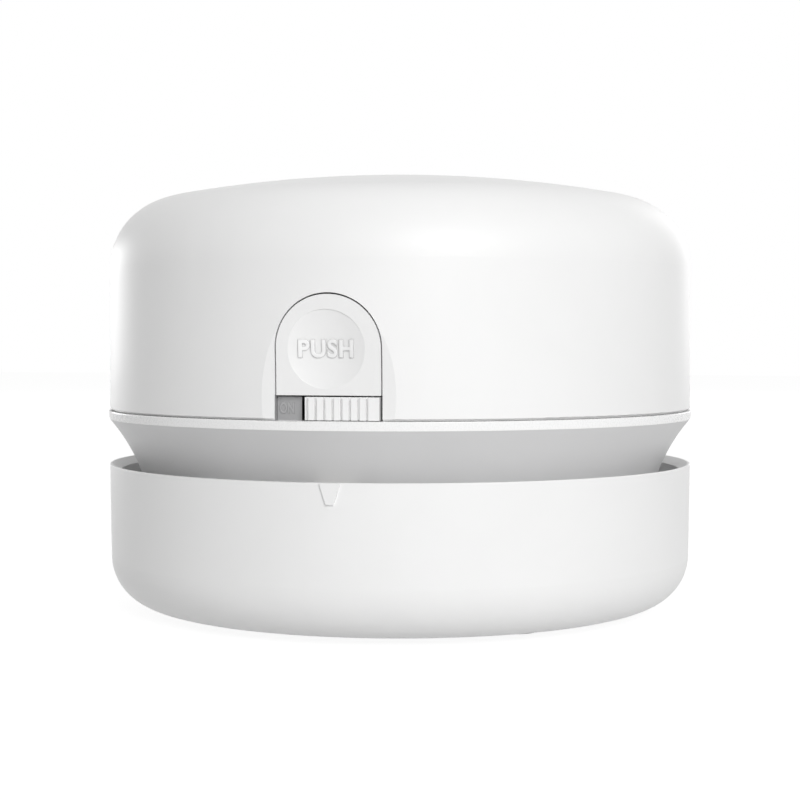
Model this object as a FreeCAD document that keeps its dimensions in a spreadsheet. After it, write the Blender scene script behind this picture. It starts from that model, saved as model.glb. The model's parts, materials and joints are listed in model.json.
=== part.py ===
"""Desktop mini vacuum cleaner: a round dust bowl with a lift-off motor unit, in millimetres.

The bowl stands on the table with its mouth downwards. The motor unit drops into the bowl, hangs
on the bowl's seat ribs by its flange, and is held by a latch that the push button releases.
Origin: middle of the footprint on the table. +Z is up and the button faces -Y.
"""
import FreeCAD, Part
import math
import os
import re

import Sketcher
from FreeCAD import Placement, Rotation, Vector

# ---------------------------------------------------------------------------------------------
# Driving sizes: name, value in millimetres (angles in degrees), what it is
# ---------------------------------------------------------------------------------------------
SIZES = {
    # dust bowl
    "band_radius": (42.5, "outside of the band, the widest ring of the body"),
    "foot_stand": (0.8, "how far the feet lift the bowl"),
    "cup_height": (20.5, "bowl, foot to rim"),
    "cup_rim_inset": (0.15, "rim inside the band's outline"),
    "cup_draft": (0.25, "how much the bowl narrows downwards"),
    "cup_corner": (7.2, "rounding of the bowl's bottom edge"),
    "cup_wall": (1.6, "bowl wall"),
    "cup_floor": (1.8, "bowl floor"),
    "rim_land": (0.35, "flat top of the rim"),
    "rim_bevel": (0.95, "height of the bevel inside the rim"),
    "rim_round": (0.12, "rounding of the rim's edges"),
    "recess_depth": (2.2, "depth of the brush recess"),
    "brush_room": (5.4, "width of the brush recess"),
    "seat_drop": (6.3, "rim to the seat ribs' tops"),
    "seat_lap": (1.0, "flange on the seat ribs"),
    "mouth_radius": (12.2, "hole through the bowl floor"),
    "seat_rib_width": (1.6, "thickness of a seat rib"),
    "catch_depth": (0.9, "depth of the latch pocket in the bowl wall"),
    "catch_side": (0.6, "room beside the latch nose, either side"),
    "mark_top_width": (2.7, "alignment mark, width at the rim"),
    "mark_foot_width": (1.0, "alignment mark, width at its lower end"),
    "mark_height": (2.7, "alignment mark, height"),
    "mark_relief": (0.3, "how far the alignment mark stands out"),
    "mark_drop": (0.05, "rim edge to the alignment mark"),
    "mark_shift": (0.45, "alignment mark to the right of the middle plane"),
    # intake
    "duct_wall": (1.1, "wall of the intake duct"),
    "duct_gap": (0.1, "duct in the floor hole"),
    "duct_flange": (2.3, "how far the duct's flange reaches out"),
    "duct_flange_thick": (0.8, "thickness of the duct's flange"),
    "duct_rise": (7.2, "bowl's foot to the duct's top"),
    "duct_drop": (0.9, "bowl's foot to the duct's lower edge"),
    "brush_ring_thick": (1.4, "brush ring"),
    "brush_ring_gap": (0.2, "brush ring in its recess"),
    "tuft_radius": (1.0, "one bristle tuft"),
    "tuft_count": (24, "bristle tufts"),
    "tuft_seat": (1.0, "depth of a tuft in the brush ring"),
    "tuft_clear": (0.1, "tuft ends above the table"),
    "foot_radius": (4.0, "glide foot"),
    "foot_margin": (2.9, "foot to the rounding of the bowl"),
    "foot_inset": (0.4, "depth of a foot in the bowl floor"),
    "foot_gap": (0.05, "foot in its recess"),
    # filter
    "filter_lift_gap": (0.1, "filter rim under the chassis"),
    "filter_rim_gap": (0.5, "filter rim in its recess"),
    "filter_rim_lap": (2.2, "how far the rim stands out of the filter's wall"),
    "filter_rim_thick": (1.0, "thickness of the rim"),
    "filter_wall": (1.2, "filter frame's wall"),
    "filter_depth": (5.5, "filter frame, top to bottom"),
    "filter_grid": (1.0, "thickness of the filter frame's grid"),
    "filter_lip": (3.0, "width of the grid's outer ring"),
    "filter_hub": (8.0, "radius of the grid's hub"),
    "spoke_width": (1.4, "width of a grid spoke"),
    "spoke_count": (18, "spokes of the grid"),
    "screen_thick": (0.4, "coarse screen"),
    "cloth_gap": (0.1, "filter cloth in its frame"),
    # chassis
    "waist_gap": (6.5, "rim of the bowl to the band"),
    "band_height": (1.16, "bright band between bowl and shell"),
    "band_taper": (0.1, "how much the band narrows downwards"),
    "band_edge": (0.15, "rounding of the band's edges"),
    "neck_flare": (25.9, "radius of the neck's hollow outline"),
    "neck_drop": (10.2, "band top to the neck's narrow part"),
    "neck_wall": (1.8, "neck wall"),
    "flange_thick": (2.2, "thickness of the flange"),
    "flange_gap": (0.3, "flange in the bowl"),
    "flange_reach": (2.8, "how far the flange stands out of the neck"),
    "seal_groove": (1.4, "depth of the seal groove"),
    "seal_inset": (0.4, "flange faces to the seal groove"),
    "seal_stand": (0.2, "how far the seal stands out of its groove"),
    "recess_step": (1.2, "depth of the filter recess"),
    "recess_land": (2.2, "neck's inside to the filter recess"),
    "floor_plate": (1.6, "floor under the fan"),
    "intake_radius": (13.0, "hole under the fan"),
    "inner_ring_drop": (3.4, "band top to where the neck's inside turns straight"),
    "inner_flare": (27.7, "radius of the neck's inner outline"),
    "ring_rise": (1.6, "locating ring above the band"),
    "ring_gap": (0.1, "locating ring in the shell"),
    "ring_thick": (1.5, "locating ring"),
    "notch_side": (4.6, "gap in the locating ring beyond the button"),
    "slot_width": (5.5, "exhaust slot"),
    "slot_height": (2.6, "exhaust slot"),
    "slot_sill": (0.6, "chassis floor to the exhaust slots"),
    "slot_count": (11, "exhaust slots"),
    "slot_span": (150, "arc from the first exhaust slot to the last"),
    "post_angle": (29.5, "case screws from the X axis"),
    "post_radius": (3.4, "chassis screw post"),
    "post_lap": (0.3, "case post in the neck's wall"),
    "head_radius": (2.3, "case screw head"),
    "head_height": (1.8, "case screw head"),
    "head_gap": (0.2, "head in its counterbore"),
    "post_web": (4.0, "post left above the screw head"),
    "shank_radius": (1.3, "case screw shank"),
    "shank_gap": (0.15, "shank in the chassis post"),
    "thread_gap": (0.03, "thread in its pilot hole"),
    "screw_bite": (7.0, "case screw in the shell's boss"),
    "pilot_spare": (0.5, "pilot hole beyond the screw's end"),
    "drive_reach": (1.6, "screwdriver slot, half length"),
    "drive_width": (0.6, "screwdriver slot"),
    # upper shell
    "seam_gap": (0.25, "shadow line between band and shell"),
    "seam_depth": (0.5, "depth of the shadow line"),
    "seat_gap": (0.05, "shell's foot above the band, behind the shadow line"),
    "shell_inset": (0.2, "shell inside the band's outline"),
    "shell_draft": (0.15, "how much the shell narrows upwards"),
    "shell_height": (33.39, "shell, lower edge to crown"),
    "shell_corner": (10.2, "rounding of the shoulder"),
    "crown_radius": (180.0, "radius of the crown"),
    "shell_wall": (2.0, "shell wall"),
    "shell_edge": (0.12, "rounding of the lower edge"),
    "boss_radius": (2.8, "shell screw boss"),
    "boss_rise": (0.8, "boss's top above the shoulder line, in the roof's wall"),
    "facet_radius": (95.0, "radius of the hollow facet"),
    "facet_rise": (3.5, "deepest line of the facet above the band"),
    # button
    "button_width": (13.5, "push button"),
    "button_low": (3.2, "button's lower edge above the band"),
    "button_top": (15.87, "button's top above the band"),
    "button_gap": (0.2, "button in its opening"),
    "facet_cut": (0.92, "depth of the button facet in the shell"),
    "button_depth": (2.48, "facet to the button's back edge"),
    "button_thick": (1.5, "front wall of the button"),
    "button_side": (1.4, "side wall of the button"),
    "button_travel": (1.6, "push of the button"),
    "dimple_radius": (5.0, "finger dimple"),
    "dimple_depth": (0.75, "finger dimple"),
    "dimple_lap": (0.1, "hollow of the dimple beyond its crisp edge"),
    "dimple_rise": (9.0, "middle of the dimple above the band"),
    "dimple_side": (0.25, "middle of the dimple to the left of the middle plane"),
    "stem_plate": (1.0, "plate behind the button"),
    "wing_lap": (1.5, "plate beyond the button's sides"),
    "stem_low": (4.4, "plate's lower edge above the band"),
    "stem_high": (14.0, "plate's upper edge above the band"),
    "stem_radius": (2.1, "button stem"),
    "stem_length": (7.0, "button stem"),
    "plug_radius": (3.1, "stem's plug behind the button"),
    "collar_radius": (4.2, "spring collar on the stem"),
    "collar_thick": (1.0, "spring collar on the stem"),
    "press_inset": (0.4, "latch beyond the foot that presses it, either side"),
    "press_set": (1.5, "button's back edge to the foot's front"),
    "press_thick": (1.2, "thickness of that foot"),
    "spring_radius": (2.75, "button spring, middle of the wire"),
    "spring_wire": (0.25, "radius of the spring wire"),
    "spring_turns": (7, "turns of the spring"),
    "spring_room": (0.05, "spring at its seats"),
    # slider and switch
    "slider_width": (9.55, "slider"),
    "slider_height": (2.9, "slider"),
    "slider_end_gap": (0.135, "slider at rest to the button's right side"),
    "slider_stand": (0.37, "slider in front of the facet"),
    "slider_thick": (1.15, "slider's thumb piece"),
    "bed_gap": (0.2, "thumb piece to its bed"),
    "bed_side": (0.06, "bed inside the opening"),
    "slider_base": (0.1, "slider above the band"),
    "slider_lap": (0.2, "thumb piece into its neck"),
    "slider_travel": (3.5, "slider"),
    "rib_pitch": (1.1, "slider's grip ribs"),
    "rib_groove": (0.3, "groove between grip ribs"),
    "rib_depth": (0.45, "groove between grip ribs"),
    "rib_count": (8, "grooves on the slider"),
    "first_groove": (0.15, "slider's left end to the first groove"),
    "bed_thick": (1.0, "slider bed"),
    "track_gap": (0.15, "slider's neck in the slot"),
    "track_end": (0.1, "slot beyond the slider's neck"),
    "track_show": (0.75, "slot left bare beside the slider at rest"),
    "track_cover": (0.15, "thumb piece beyond the slot when switched on"),
    "rest_depth": (0.6, "groove in the bed beside the slider at rest"),
    "neck_low": (0.65, "slider's neck above the band"),
    "neck_thick": (1.6, "slider's neck"),
    "keeper_thick": (0.8, "slider's keeper plate"),
    "keeper_gap": (0.6, "bed to the keeper plate"),
    "keeper_margin": (0.3, "keeper plate above and below the neck"),
    "finger_thick": (0.5, "finger that drives the switch lever"),
    "finger_reach": (2.0, "lever's middle to the bridge's left end"),
    "lever_half": (0.7, "half width of the switch lever"),
    "lever_out": (2.1, "switch lever beyond the bed's side"),
    "lever_gap": (0.1, "lever in the keeper plate"),
    "lever_tail": (1.4, "lever in the switch body"),
    "switch_depth": (4.0, "switch body"),
    "switch_gap": (1.5, "keeper plate to the switch body"),
    "switch_width": (8.6, "switch body"),
    "switch_height": (3.8, "switch body"),
    "switch_right": (2.4, "lever at rest to the switch body's right side"),
    "switch_room": (0.2, "lever in the switch body's slot"),
    # fan and motor
    "fan_room": (7.4, "height of the fan chamber"),
    "cover_plate": (1.8, "fan cover"),
    "cover_ring_gap": (0.5, "fan cover in the locating ring"),
    "cover_gap": (0.4, "clearance around the screw posts"),
    "cover_post_gap": (2.2, "fan cover's posts to the neck's inside"),
    "fan_clear": (2.6, "impeller to the fan cover's posts"),
    "cover_post_radius": (2.4, "fan cover's posts"),
    "small_shank": (0.95, "small screw shank"),
    "small_head": (1.8, "small screw head radius"),
    "small_head_height": (1.3, "small screw head"),
    "small_bite": (4.0, "small screw in its pilot hole"),
    "fan_gap": (0.7, "impeller above the floor"),
    "fan_height": (5.9, "impeller, blades and disc"),
    "fan_disc": (1.2, "impeller disc"),
    "fan_hub": (4.0, "impeller hub"),
    "hub_rise": (2.0, "blades' lower edge to the hub's"),
    "blade_thick": (1.1, "impeller blade"),
    "blade_inner": (8.0, "radius where the blades begin"),
    "blade_curve": (20.0, "radius of a blade's curve"),
    "blade_count": (9, "impeller blades"),
    "blade_inset": (0.2, "blade tip inside the disc's edge"),
    "blade_sweep": (38, "angle that a blade turns through"),
    "blade_tip": (2, "angle of a blade's cut end"),
    "shaft_radius": (1.0, "motor shaft"),
    "shaft_gap": (0.03, "shaft in its bushes"),
    "press_gap": (0.01, "parts pressed on the shaft"),
    "can_radius": (10.05, "motor can"),
    "can_flat": (7.55, "motor can, middle to flat"),
    "can_length": (20.8, "motor can"),
    "can_wall": (0.8, "motor can"),
    "cap_length": (4.2, "motor end cap"),
    "cap_wall": (1.4, "motor end cap"),
    "nose_radius": (3.1, "motor's front boss"),
    "nose_length": (1.6, "motor's front boss"),
    "nose_gap": (0.1, "front boss in the fan cover"),
    "bush_radius": (1.9, "motor bush, outside"),
    "bush_length": (2.0, "motor bush"),
    "bush_inset": (0.2, "bush from the motor's end faces"),
    "shaft_inset": (0.1, "shaft's end below the end cap"),
    "magnet_inner": (6.9, "inside of the magnets"),
    "magnet_length": (14.0, "magnets"),
    "magnet_at": (3.0, "can's foot to the magnets"),
    "magnet_trim": (1.0, "magnets from the can's flats"),
    "core_radius": (6.3, "rotor core"),
    "core_length": (9.0, "rotor core"),
    "core_at": (5.5, "can's foot to the rotor core"),
    "core_hub": (2.8, "rotor core's hub"),
    "core_arm": (2.2, "width of a core arm"),
    "core_shoe": (1.3, "thickness of the core's rim"),
    "core_slot": (1.3, "slot between two shoes"),
    "winding_thick": (0.8, "copper on each side of an arm"),
    "winding_inner": (3.3, "windings from the axis"),
    "winding_clear": (0.6, "windings under the rim"),
    "commutator_radius": (2.3, "commutator"),
    "commutator_length": (3.0, "commutator"),
    "commutator_gap": (1.4, "core to commutator"),
    "cradle_wall": (0.6, "walls that hold the motor's flats"),
    "cradle_height": (5.0, "height of those walls"),
    "cradle_reach": (6.0, "half length of those walls"),
    "clamp_post_radius": (2.5, "motor clamp posts"),
    "clamp_gap": (0.85, "motor to the clamp posts"),
    "clamp_half": (3.6, "half width of the motor clamp"),
    "clamp_thick": (1.4, "motor clamp"),
    "terminal_inset": (1.4, "motor terminals from the can's flats"),
    "terminal_thick": (0.5, "motor terminal"),
    "terminal_width": (2.0, "motor terminal"),
    "terminal_at": (2.6, "motor terminals from the middle plane"),
    "terminal_root": (1.2, "motor terminal in the end cap"),
    "terminal_rise": (2.4, "motor terminal above the end cap"),
    "damper_thick": (0.8, "rubber pad on the motor"),
    "damper_inset": (1.2, "pad from the motor's round sides"),
    # battery
    "cell_nub": (1.2, "raised end of a cell"),
    "cell_nub_radius": (2.8, "raised end of a cell"),
    "cell_gap": (0.15, "cell in its tray"),
    "tray_gap": (0.287, "tray to the shell's bosses"),
    "motor_room": (1.85, "motor's walls to the tray"),
    "tray_side": (0.6, "tray beyond the cell, either side"),
    "cell_clear": (3.545, "tray's corners to the shell"),
    "cell_seat": (0.1, "cell on its bridges"),
    "tray_wall": (1.4, "end wall of the tray"),
    "tray_base": (2.2, "tray floor above the fan cover"),
    "tray_foot": (2.0, "half width of a tray foot"),
    "tray_foot_at": (15.0, "tray feet from the middle"),
    "bridge_half": (1.8, "half width of a tray bridge"),
    "bridge_gap": (1.6, "bracket wall to the tray bridge"),
    "bridge_thick": (0.7, "tray bridge"),
    "tab_thick": (0.25, "cell strap"),
    "tab_half": (2.0, "half width of a cell strap"),
    "tab_rise": (0.2, "tray's edge to the strap"),
    # board and socket
    "board_thick": (1.2, "board"),
    "board_gap": (1.1, "clamp post to the board"),
    "board_side_gap": (1.2, "board to the trays"),
    "board_screw_in": (10.0, "board's front edge to its screws"),
    "board_screw_side": (2.4, "board's sides to its screws"),
    "board_rise": (4.0, "board above the fan cover"),
    "board_post_radius": (2.2, "board posts"),
    "chip_half": (2.0, "half width of the charging chip"),
    "chip_at": (4.0, "board's front edge to the chip"),
    "chip_height": (1.2, "charging chip"),
    "coil_radius": (2.0, "coil on the board"),
    "coil_gap": (2.65, "coil to the charging socket"),
    "coil_height": (2.2, "coil on the board"),
    "capacitor_x": (3.6, "capacitors from the middle"),
    "capacitor_at": (4.5, "board's front edge to the capacitors"),
    "capacitor_half": (0.6, "half width of a capacitor"),
    "capacitor_length": (2.5, "capacitor"),
    "capacitor_height": (0.9, "capacitor"),
    "lamp_chip": (1.6, "lamp chip"),
    "lamp_chip_at": (4.0, "board's rear edge to the lamp chip's front"),
    "socket_width": (8.94, "charging socket"),
    "socket_height": (3.26, "charging socket"),
    "socket_length": (7.35, "charging socket"),
    "socket_set": (1.3, "mouth of the socket behind the shell's surface"),
    "socket_overhang": (3.0, "socket beyond the board"),
    "socket_wall": (0.3, "charging socket's shell"),
    "socket_floor": (1.5, "closed end of the charging socket"),
    "tongue_side": (1.2, "contact tongue from the socket's sides"),
    "tongue_thick": (0.7, "contact tongue"),
    "tongue_inset": (1.0, "contact tongue behind the mouth"),
    "socket_gap": (0.25, "socket in the case opening"),
    "lamp_radius": (1.0, "charge lamp"),
    "lamp_side": (1.8, "charge lamp to the board's side"),
    "lamp_gap": (0.05, "charge lamp in its hole"),
    "lamp_inset": (0.4, "charge lamp behind the shell's surface"),
    "lamp_root": (2.2, "board's rear edge to the lamp's foot"),
    "lead_radius": (0.5, "insulated lead"),
    "lead_bend": (2.5, "bend of a lead"),
    "lead_gap": (0.1, "lead's end at its terminal"),
    "battery_lead_set": (2.5, "battery leads to the cells' ends"),
    "lead_over": (3.0, "battery leads above the cells"),
    "lead_rise": (2.0, "motor leads above the end cap"),
    "motor_lead_at": (1.6, "board's front edge to the motor leads"),
    "battery_lead_in": (0.8, "battery leads from the board's sides"),
    "battery_lead_foot": (1.0, "strap's lower edge to the lead's end"),
    "switch_lead_in": (0.05, "switch leads from the board's side"),
    "switch_lead_end": (2.0, "lower switch lead under the board"),
    # latch
    "bracket_half": (8.0, "half width of the button bracket"),
    "bracket_wall": (1.6, "bracket wall"),
    "bracket_lap": (2.9, "bracket behind the switch body's front"),
    "bracket_depth": (9.4, "bracket, front edge to wall"),
    "shelf_depth": (6.0, "latch's shelf"),
    "latch_end_gap": (0.2, "latch to the bracket wall"),
    "latch_screw_in": (3.0, "latch screw to the bracket wall"),
    "latch_free": (1.0, "foot's way before it meets the latch"),
    "latch_tip_gap": (0.45, "tip of the nose in its pocket"),
    "bracket_top": (17.0, "bracket wall's top above the band"),
    "bracket_margin": (0.6, "bracket beyond the switch body"),
    "bracket_rib": (1.4, "bracket rib"),
    "bracket_rib_reach": (3.0, "bracket rib"),
    "seat_back": (0.3, "switch body beyond its seat"),
    "spigot_radius": (2.2, "spring spigot on the bracket"),
    "spigot_length": (1.5, "spring spigot on the bracket"),
    "latch_clear": (0.19, "latch to the switch body"),
    "window_side": (0.8, "room beside the latch in its window"),
    "latch_thick": (1.3, "latch arm"),
    "latch_root": (3.0, "latch root above the band"),
    "latch_root_thick": (1.2, "latch root"),
    "latch_low": (0.4, "chassis floor to the latch's lower end"),
    "latch_nose": (1.8, "height of the latch nose"),
    "latch_play": (0.3, "latch nose in its pocket"),
    "latch_lead": (0.8, "bevel under the latch nose"),
}

# Lengths that follow from the driving sizes: name, what it is worked out from, what it is
FOLLOWING = {
    "cup_rim_radius": ("band_radius - cup_rim_inset", "bowl's outside at the rim"),
    "cup_base_radius": ("cup_rim_radius - cup_draft", "bowl's outside at the bottom, before rounding"),
    "recess_radius": ("mouth_radius + brush_room", "brush recess under the bowl"),
    "seat_height": ("cup_height - seat_drop", "bowl's foot to the seat ribs' tops"),
    "flange_radius": ("cup_base_radius - cup_wall - flange_gap", "flange that enters the bowl"),
    "seat_ledge": ("flange_radius - seat_lap", "radius at the seat ribs' inner edge"),
    "tuft_circle": ("(mouth_radius + recess_radius) / 2", "circle of the tufts"),
    "foot_circle": (
        "cup_base_radius - cup_corner - foot_radius - foot_margin",
        "circle of the glide feet"),
    "neck_radius": ("flange_radius - flange_reach", "outside of the neck"),
    "filter_recess": ("neck_radius - neck_wall - recess_land", "recess for the filter's rim"),
    "filter_rim_radius": ("filter_recess - filter_rim_gap", "filter frame's rim"),
    "filter_radius": ("filter_rim_radius - filter_rim_lap", "filter frame's wall, outside"),
    "grid_ring_radius": (
        "(filter_hub + filter_radius - filter_wall - filter_lip - spoke_width) / 2",
        "inside of the grid's middle ring"),
    "shell_radius": ("band_radius - shell_inset", "shell's outside at its lower edge"),
    "shell_top_radius": ("shell_radius - shell_draft", "shell's outside at the shoulder, before rounding"),
    "inner_ring_radius": (
        "shell_radius - shell_wall - ring_gap - ring_thick",
        "inside of the locating ring"),
    "front_notch": ("button_width / 2 + notch_side", "half width of the gap in the locating ring"),
    "post_circle": ("neck_radius - neck_wall - post_radius + post_lap", "circle of the case screws"),
    "cover_radius": ("inner_ring_radius - cover_ring_gap", "fan cover"),
    "cover_post_circle": (
        "neck_radius - neck_wall - cover_post_radius - cover_post_gap",
        "circle of the fan cover's posts"),
    "fan_radius": ("cover_post_circle - cover_post_radius - fan_clear", "impeller"),
    "facet_depth": ("shell_radius - facet_cut", "button facet from the axis"),
    "button_back": ("facet_depth - button_depth", "back edge of the button from the axis"),
    "stem_wing": ("button_width / 2 + wing_lap", "half width of that plate"),
    "press_front": ("button_back - press_set", "front of that foot from the axis"),
    "slider_left": ("button_width / 2 - slider_end_gap - slider_width", "slider's left end at rest"),
    "slider_front": ("facet_depth + slider_stand", "slider's front from the axis"),
    "slider_back": ("slider_front - slider_thick", "slider's back from the axis"),
    "bed_front": ("slider_back - bed_gap", "slider bed from the axis"),
    "bed_half": ("button_width / 2 + button_gap - bed_side", "half width of the bed"),
    "track_left": ("slider_left - track_show", "left end of the slot in the bed"),
    "neck_left": ("track_left + track_end + slider_travel", "left side of the slider's neck"),
    "neck_right": (
        "slider_left + slider_width - slider_travel - track_cover - track_end",
        "right side of the slider's neck"),
    "track_right": ("neck_right + track_end", "right end of the slot in the bed"),
    "keeper_front": ("bed_front - bed_thick - keeper_gap", "slider's keeper plate from the axis"),
    "lever_x": ("bed_half + lever_out", "switch lever at rest"),
    "latch_half": ("lever_x + switch_right - switch_width - latch_clear", "half width of the latch"),
    "latch_window": ("latch_half + window_side", "half width of the latch window"),
    "press_foot": ("latch_half - press_inset", "half width of the foot that presses the latch"),
    "keeper_right": ("lever_x - lever_half - lever_gap", "right end of the keeper plate"),
    "switch_front": ("keeper_front - keeper_thick - switch_gap", "switch body from the axis"),
    "bracket_front": ("switch_front - bracket_lap", "bracket's front edge from the axis"),
    "bracket_wall_at": ("bracket_front - bracket_depth", "bracket wall from the axis"),
    "shelf_front": ("bracket_wall_at + shelf_depth", "front of the latch's shelf from the axis"),
    "latch_end": ("bracket_wall_at + latch_end_gap", "back end of the latch from the axis"),
    "latch_screw_at": ("bracket_wall_at + latch_screw_in", "latch screw from the axis"),
    "latch_front": ("press_front - press_thick - latch_free", "front of the latch arm from the axis"),
    "latch_tip": (
        "cup_rim_radius - cup_wall + catch_depth - latch_tip_gap",
        "tip of the latch nose from the axis"),
    "clamp_post_at": ("can_radius + clamp_post_radius + clamp_gap", "motor clamp posts from the axis"),
    "post_x": ("post_circle * cos(post_angle)", "case screws from the middle"),
    "cell_radius": (
        "(post_x - boss_radius - tray_gap - can_flat - cradle_wall - motor_room) / 2 - tray_side",
        "battery cell"),
    "tray_half": ("cell_radius + tray_side", "half width of one tray"),
    "cell_at": ("post_x - boss_radius - tray_gap - tray_half", "battery cell from the middle"),
    "cell_length": (
        "2 * (sqrt((shell_top_radius - shell_wall - cell_clear)^2 "
        "- (cell_at + tray_half)^2) - tray_wall - cell_gap)",
        "battery cell"),
    "cell_rise": ("tray_base + bridge_thick + cell_seat + cell_radius", "cell axis above the fan cover"),
    "tray_height": ("cell_radius", "tray, floor to edge"),
    "bridge_at": (
        "bracket_wall_at - bracket_wall - bridge_half - bridge_gap",
        "tray bridges from the middle"),
    "board_half": ("cell_at - tray_half - board_side_gap", "half width of the board"),
    "board_front": ("clamp_post_at + clamp_post_radius + board_gap", "board's front edge"),
    "socket_end": ("shell_radius - socket_set", "mouth of the socket from the axis"),
    "board_length": ("socket_end - socket_overhang - board_front", "board"),
    "board_screw_x": ("board_half - board_screw_side", "board screws from the middle"),
    "board_screw_y": ("board_front + board_screw_in", "board screws from the axis"),
    "coil_at": (
        "socket_end - socket_length - coil_radius - coil_gap - board_front",
        "board's front edge to the coil"),
    "battery_lead_at": (
        "cell_length / 2 - battery_lead_set - board_front",
        "board's front edge to the battery leads"),
    "lamp_x": ("board_half - lamp_side", "charge lamp from the socket's middle"),
}

doc = FreeCAD.newDocument("desk_vacuum")
sheet = doc.addObject("Spreadsheet::Sheet", "Sizes")
for row, (alias, (value, meaning)) in enumerate(SIZES.items(), start=1):
    sheet.set(f"A{row}", alias)
    sheet.set(f"B{row}", str(value))
    sheet.set(f"C{row}", meaning)
    sheet.setAlias(f"B{row}", alias)
doc.recompute()

# Levels above the table, worked out from the sheet
FOOT = "foot_stand"
RIM = "(foot_stand + cup_height)"
WAIST = "(foot_stand + cup_height + waist_gap)"
BAND = "(foot_stand + cup_height + waist_gap + band_height)"
SEAT = "(foot_stand + seat_height)"
FLANGE_TOP = f"({SEAT} + flange_thick)"
FLOOR_UNDER = f"({SEAT} + recess_step)"
FLOOR = f"({SEAT} + recess_step + floor_plate)"
COVER_UNDER = f"({FLOOR} + fan_room)"
COVER = f"({FLOOR} + fan_room + cover_plate)"
PAN_UNDER = "(foot_stand + recess_depth)"
SHELL_SEAT = f"({BAND} + seat_gap)"
SHELL_FOOT = f"({BAND} + seam_gap)"
CROWN = f"({BAND} + seam_gap + shell_height)"
CROWN_RISE = "(crown_radius - sqrt(crown_radius^2 - shell_top_radius^2))"
SHOULDER = f"({CROWN} - {CROWN_RISE})"
INNER_CROWN = "(crown_radius - shell_wall)"
INNER_RISE = f"({INNER_CROWN} - sqrt({INNER_CROWN}^2 - (shell_top_radius - shell_wall)^2))"
FILTER_TOP = f"({FLOOR_UNDER} - filter_lift_gap)"
FILTER_FOOT = f"({FILTER_TOP} - filter_depth)"
CAN_TOP = f"({COVER} + can_length)"
MOTOR_TOP = f"({COVER} + can_length + cap_length)"
BOARD_TOP = f"({COVER} + board_rise + board_thick)"
CELL_AXIS = f"({COVER} + cell_rise)"
SLIDER_MID = f"({BAND} + neck_low + neck_thick / 2)"
LATCH_FOOT = f"({FLOOR} + latch_low)"
STEM_AXIS = f"({BAND} + dimple_rise)"

WORD = re.compile(r"\b[a-z][a-z0-9_]*\b")


def sized(text):
    """An expression in which every name of the sheet points at its cell."""
    return WORD.sub(cell_of, str(text))


def cell_of(match):
    """The cell of a driving size, or the worked-out expression of a following one."""
    name = match.group()
    if name in SIZES:
        return "Sizes." + name
    if name in FOLLOWING:
        return f"({sized(FOLLOWING[name][0])})"
    return name


def number(text):
    return float(sheet.evalExpression(sized(text)))


def bind(thing, **sizes):
    for path, text in sizes.items():
        thing.setExpression(path, sized(text))


def put(thing, at, turn=None):
    """Place a primitive: at holds three expressions, turn an optional fixed rotation."""
    if turn is not None:
        thing.Placement = Placement(Vector(), turn)
    for letter, text in zip("xyz", at):
        thing.setExpression(f"Placement.Base.{letter}", sized(text))
    return thing


# ---------------------------------------------------------------------------------------------
# Primitives and booleans
# ---------------------------------------------------------------------------------------------
TURNS = {
    "z": Rotation(),
    "y": Rotation(Vector(1, 0, 0), -90),
    "x": Rotation(Vector(0, 1, 0), 90),
}


def box(name, low, high):
    """A box between two corners, each given as three expressions."""
    solid = doc.addObject("Part::Box", name)
    for path, start, end in zip(("Length", "Width", "Height"), low, high):
        solid.setExpression(path, sized(f"({end}) - ({start})"))
    return put(solid, low)


def rod(name, radius, start, length, axis="z"):
    """A cylinder that runs from start along an axis."""
    solid = doc.addObject("Part::Cylinder", name)
    bind(solid, Radius=radius, Height=length)
    return put(solid, start, TURNS[axis])


def radial_box(name, angle, inner, outer, width, low, high):
    """A box that runs outwards at an angle, centred on that direction."""
    solid = doc.addObject("Part::Box", name)
    bind(solid, Length=f"({outer}) - ({inner})", Width=width, Height=f"({high}) - ({low})")
    turn = Rotation(Vector(0, 0, 1), angle)
    across = f"({inner}) * cos({angle}) + ({width}) / 2 * sin({angle})"
    along = f"({inner}) * sin({angle}) - ({width}) / 2 * cos({angle})"
    return put(solid, (across, along, low), turn)


def ball(name, radius, centre):
    solid = doc.addObject("Part::Sphere", name)
    bind(solid, Radius=radius)
    return put(solid, centre)


def fused(name, *solids):
    joined = doc.addObject("Part::MultiFuse", name)
    joined.Shapes = list(solids)
    return joined


def common(name, first, second):
    shared = doc.addObject("Part::Common", name)
    shared.Base, shared.Tool = first, second
    return shared


def cut(name, base, *tools):
    left = doc.addObject("Part::Cut", name)
    left.Base = base
    left.Tool = tools[0] if len(tools) == 1 else fused(name + "_tools", *tools)
    return left


def group(name, *solids):
    """Separate solids of one kind in one node."""
    several = doc.addObject("Part::Compound", name)
    several.Links = list(solids)
    return several


# ---------------------------------------------------------------------------------------------
# Sketched features
# ---------------------------------------------------------------------------------------------
def origin_plane(body, role):
    return [feature for feature in body.Origin.OriginFeatures if feature.Role == role][0]


def add_arc(sketch, start, end, radius, side):
    """An arc from start to end; side 1 has its centre on the left of the way, -1 on the right."""
    chord = end - start
    left = Vector(-chord.y, chord.x, 0).normalize()
    reach = math.sqrt(radius**2 - (chord.Length / 2) ** 2)
    centre = (start + end) * 0.5 + left * reach * side
    first, last = (start, end) if side > 0 else (end, start)
    angles = [math.atan2(p.y - centre.y, p.x - centre.x) for p in (first, last)]
    circle = Part.Circle(centre, Vector(0, 0, 1), radius)
    return sketch.addGeometry(Part.ArcOfCircle(circle, angles[0], angles[1]))


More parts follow.
